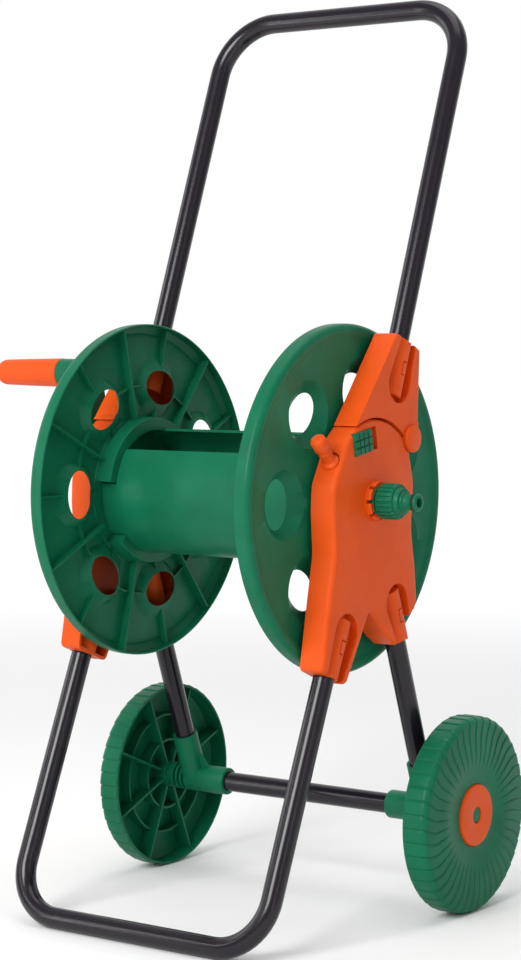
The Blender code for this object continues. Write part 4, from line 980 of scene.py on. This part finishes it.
def plug():
    """The tap adaptor, its nut ribbed for the fingers."""
    nut = 17 * mm
    nut_end = adaptor_x + 18 * mm
    tip = adaptor_x + 39 * mm
    thread = thread_radius + 0.3 * mm
    deep = adaptor_x + 14.3 * mm
    profile = [(adaptor_x, thread)]
    profile += in_mm([(0, 15.4), (0.8, 16.6), (1.6, 17)], adaptor_x)
    profile += in_mm([(-2, 17), (-1, 16.6), (0, 15.4), (0, 13.6), (0.9, 13.0), (4.4, 12.4),
                      (5.0, 9.6), (6.6, 9.2), (7.2, 7.7), (8.0, 7.3)], nut_end)
    profile += in_mm([(-7.6, 7.3), (-7.2, 8.2), (-5.6, 8.2), (-5.6, 6.2), (-3, 6.2), (-3, 8.2),
                      (-1.2, 8.2), (-0.4, 7.6), (0, 6.7), (0, 5), (-0.5, 4.5)], tip)
    body = spun(profile + [(deep, water_bore), (deep, thread)], 168)
    for vert in body.verts:
        radius = Vector(vert.co.yz).length
        turn = math.atan2(vert.co.z, vert.co.y)
        if radius > nut - 0.5 * mm and math.cos(turn * 21) < -0.5:
            vert.co.yz *= 1 - 1.3 * mm / nut
        if 12 * mm < radius < 13.1 * mm and vert.co.x > nut_end and math.cos(turn * 6) < 0.2:
            vert.co.yz *= 1 - 0.7 * mm / 13
    return body


outlet_angle = math.radians(106)
outlet_direction = Vector((0, math.cos(outlet_angle), math.sin(outlet_angle)))
outlet_x = nose_x - 28.5 * mm


def on_outlet(profile):
    piece = spun(profile, 56)
    turn = Vector((1, 0, 0)).rotation_difference(outlet_direction).to_matrix().to_4x4()
    bmesh.ops.transform(piece, matrix=Matrix.Translation((outlet_x, 0, 0)) @ turn, verts=piece.verts)
    return piece


def elbow():
    skirt = spindle_radius + 5.3 * mm
    profile = [(web_outer_x - 7 * mm, skirt), (web_outer_x - 7 * mm, skirt + 2.5 * mm),
               (nose_x - 3 * mm, skirt + 2.5 * mm)]
    profile += in_mm([(-3, 13), (-37, 13), (-38.4, 12.4), (-39, 11), (-39, 0), (-35.5, 0),
                      (-35.5, 5), (-18.5, 5), (-18.5, 9.4), (-0.3, 9.4)], nose_x)
    body = spun(profile + [(nose_x - 0.3 * mm, skirt)], 140)
    centre = Vector((outlet_x, 0, 0))
    body = fuse(body, [rod(centre, centre + outlet_direction * 24 * mm, 9.5 * mm)])
    return cut(body, [rod(centre, centre + outlet_direction * 30 * mm, 4.5 * mm)])


def soft_rubber():
    """Black nitrile rubber: matt, with a faint bloom from the mould."""
    material, tree, shader = new_finish("nitrile_rubber", "#171717", 0.62)
    cloud_roughness(tree, shader, 1.5 * mm, 3.0, 0.5, 0.75)
    return material, "black_rubber"


rubber = soft_rubber()
make_piece(shaft(), "hollow_shaft", green, "frame", ["inlet_spindle"])
make_piece(plug(), "tap_plug", green, "frame", ["tap_adaptor"], sharp=40)
make_piece(rubber_ring(adaptor_x + 39 * mm - 4.3 * mm, 7.6 * mm, 1.1 * mm), "plug_ring", rubber,
           "frame", ["nipple_o_ring"])
make_piece(rubber_ring(nose_x - 6.75 * mm, 8.4 * mm, 0.85 * mm), "shaft_ring", rubber, "frame",
           ["spindle_o_ring"])
washer = spun(in_mm([(0, 5.5), (0, 12.6), (2.2, 12.6), (2.2, 5.5)], adaptor_x + 11.8 * mm), 56)
make_piece(washer, "flat_washer", rubber, "frame", ["inlet_washer"], bevel=0.2 * mm)
clip = spun(in_mm([(0.3, 12.8), (0.3, 16.5), (1.5, 16.5), (1.5, 12.8)], nose_x), 72)
clip = cut(clip, [block((nose_x - 1 * mm, -4 * mm, 4 * mm), (nose_x + 3 * mm, 4 * mm, 20 * mm))])
make_piece(clip, "retaining_clip", zinc, "frame", ["spindle_clip"], bevel=0.15 * mm)
make_piece(elbow(), "water_elbow", green, "drum", ["drum_elbow"], bevel=0.4 * mm)
tail = [(24.3, 4.0), (24.3, 9.2), (27.3, 9.2), (27.3, 5.8), (32.3, 5.8), (33.8, 6.8), (38.3, 5.6),
        (39.8, 6.6), (45.3, 5.0), (45.3, 4.0)]
make_piece(on_outlet(in_mm(tail)), "barbed_tail", green, "drum", ["hose_nipple"])
union = [(14, 9.8), (14, 12.6), (14.4, 13), (29.5, 13), (30.1, 12.5), (30.5, 11.8), (30.5, 6.1),
         (27.6, 6.1), (27.6, 9.8)]
make_piece(on_outlet(in_mm(union)), "union_nut", green, "drum", ["hose_nut"])


# Studio
# A plain white floor under large soft lights: a broad key from the front left, a weaker fill from the
# right, and two tall strips that draw the thin bright lines along the glossy tubes.
def paper_white():
    """A sweep of matt white paper that glows evenly where it runs off into the distance."""
    material, tree, shader = new_finish("matt_white_paper", "#F4F4F4", 0.9)
    shader.inputs["Emission Color"].default_value = (1.0, 1.0, 1.0, 1.0)
    place = add_node(tree, "ShaderNodeTexCoord", {})
    reach = add_node(tree, "ShaderNodeVectorMath", {"operation": "LENGTH"},
                     [(0, place.outputs["Object"])])
    far = add_node(tree, "ShaderNodeMapRange",
                   {"From Min": 0.7, "From Max": 3.2, "interpolation_type": "SMOOTHSTEP"},
                   [("Value", reach.outputs["Value"])])
    tone = add_node(tree, "ShaderNodeValToRGB", {}, [("Fac", far.outputs["Result"])])
    tone.color_ramp.elements[0].color = linear("#F4F4F4")
    tone.color_ramp.elements[1].color = (0.0, 0.0, 0.0, 1.0)
    tree.links.new(tone.outputs["Color"], shader.inputs["Base Color"])
    tree.links.new(far.outputs["Result"], shader.inputs["Emission Strength"])
    return material


ground = bmesh.new()
bmesh.ops.create_circle(ground, segments=96, radius=30.0, cap_ends=True)
ground = to_mesh(moved(ground, (drum_centre.x, drum_centre.y, 0)), "studio_floor")
floor = new_object("studio_floor", ground)
floor.data.materials.append(paper_white())


def soft_box(name, where, size, power):
    """A rectangular area light aimed just above the drum's axis."""
    light = bpy.data.lights.new(name, "AREA")
    light.shape = "RECTANGLE"
    light.size, light.size_y = size
    light.energy = power
    lamp = new_object(name, light)
    lamp.location = drum_centre + Vector(where)
    look = Vector((0, 0, 20 * mm)) - Vector(where)
    lamp.rotation_euler = look.to_track_quat("-Z", "Y").to_euler()
    return lamp


soft_box("key_front", (0.1, -2.9, 1.6), (1.5, 1.5), 84)
soft_box("side_left", (-2.8, -0.8, 1.0), (1.4, 1.4), 14)
soft_box("fill_right", (2.8, -0.6, 0.9), (1.4, 1.8), 3)
soft_box("top_light", (0.2, 0.2, 2.6), (2.0, 2.0), 22)
soft_box("strip_left", (-1.6, -2.0, 0.1), (0.06, 2.4), 9)
soft_box("strip_right", (2.2, -1.3, 0.1), (0.05, 2.4), 4)

# The room is white behind the cart, and dimmer on the side from which it is seen.
world = bpy.data.worlds.new("studio_room")
bpy.context.scene.world = world
world.use_nodes = True
room = world.node_tree
facing = add_node(room, "ShaderNodeTexCoord", {})
depth = add_node(room, "ShaderNodeVectorMath", {"operation": "DOT_PRODUCT"},
                 [(0, facing.outputs["Generated"])])
depth.inputs[1].default_value = (-0.58, 0.81, 0.12)
shade = add_node(room, "ShaderNodeMapRange", {"From Min": 0.15, "From Max": 0.88, "To Min": 0.40,
                                              "To Max": 1.0, "interpolation_type": "SMOOTHSTEP"},
                 [("Value", depth.outputs["Value"])])
room.links.new(shade.outputs["Result"], room.nodes["Background"].inputs["Strength"])
room.nodes["Background"].inputs["Color"].default_value = (1.0, 1.0, 1.0, 1.0)
bpy.context.scene.view_settings.view_transform = "Standard"


# Camera
# A short telephoto view from the front right, a little above the drum.
yaw, pitch, roll = 0.62086, 0.05850, 0.00213
forward = Vector((-math.sin(yaw) * math.cos(pitch), math.cos(yaw) * math.cos(pitch),
                  -math.sin(pitch)))
level = Vector((math.cos(yaw), math.sin(yaw), 0))
upright = level.cross(forward)
right = level * math.cos(roll) + upright * math.sin(roll)
up = upright * math.cos(roll) - level * math.sin(roll)
lens = bpy.data.cameras.new("view_camera")
lens.sensor_fit = "VERTICAL"
lens.sensor_height = 24.0
lens.lens = 58.78
lens.shift_x = 0.0035
lens.shift_y = -0.0004
lens.clip_start = 0.05
lens.clip_end = 100.0
camera = new_object("view_camera", lens)
turn = Matrix((right, up, -forward)).transposed().to_4x4()
camera.matrix_world = Matrix.Translation(drum_centre + Vector((1.33966, -1.84433, 0.14754))) @ turn
bpy.context.scene.camera = camera
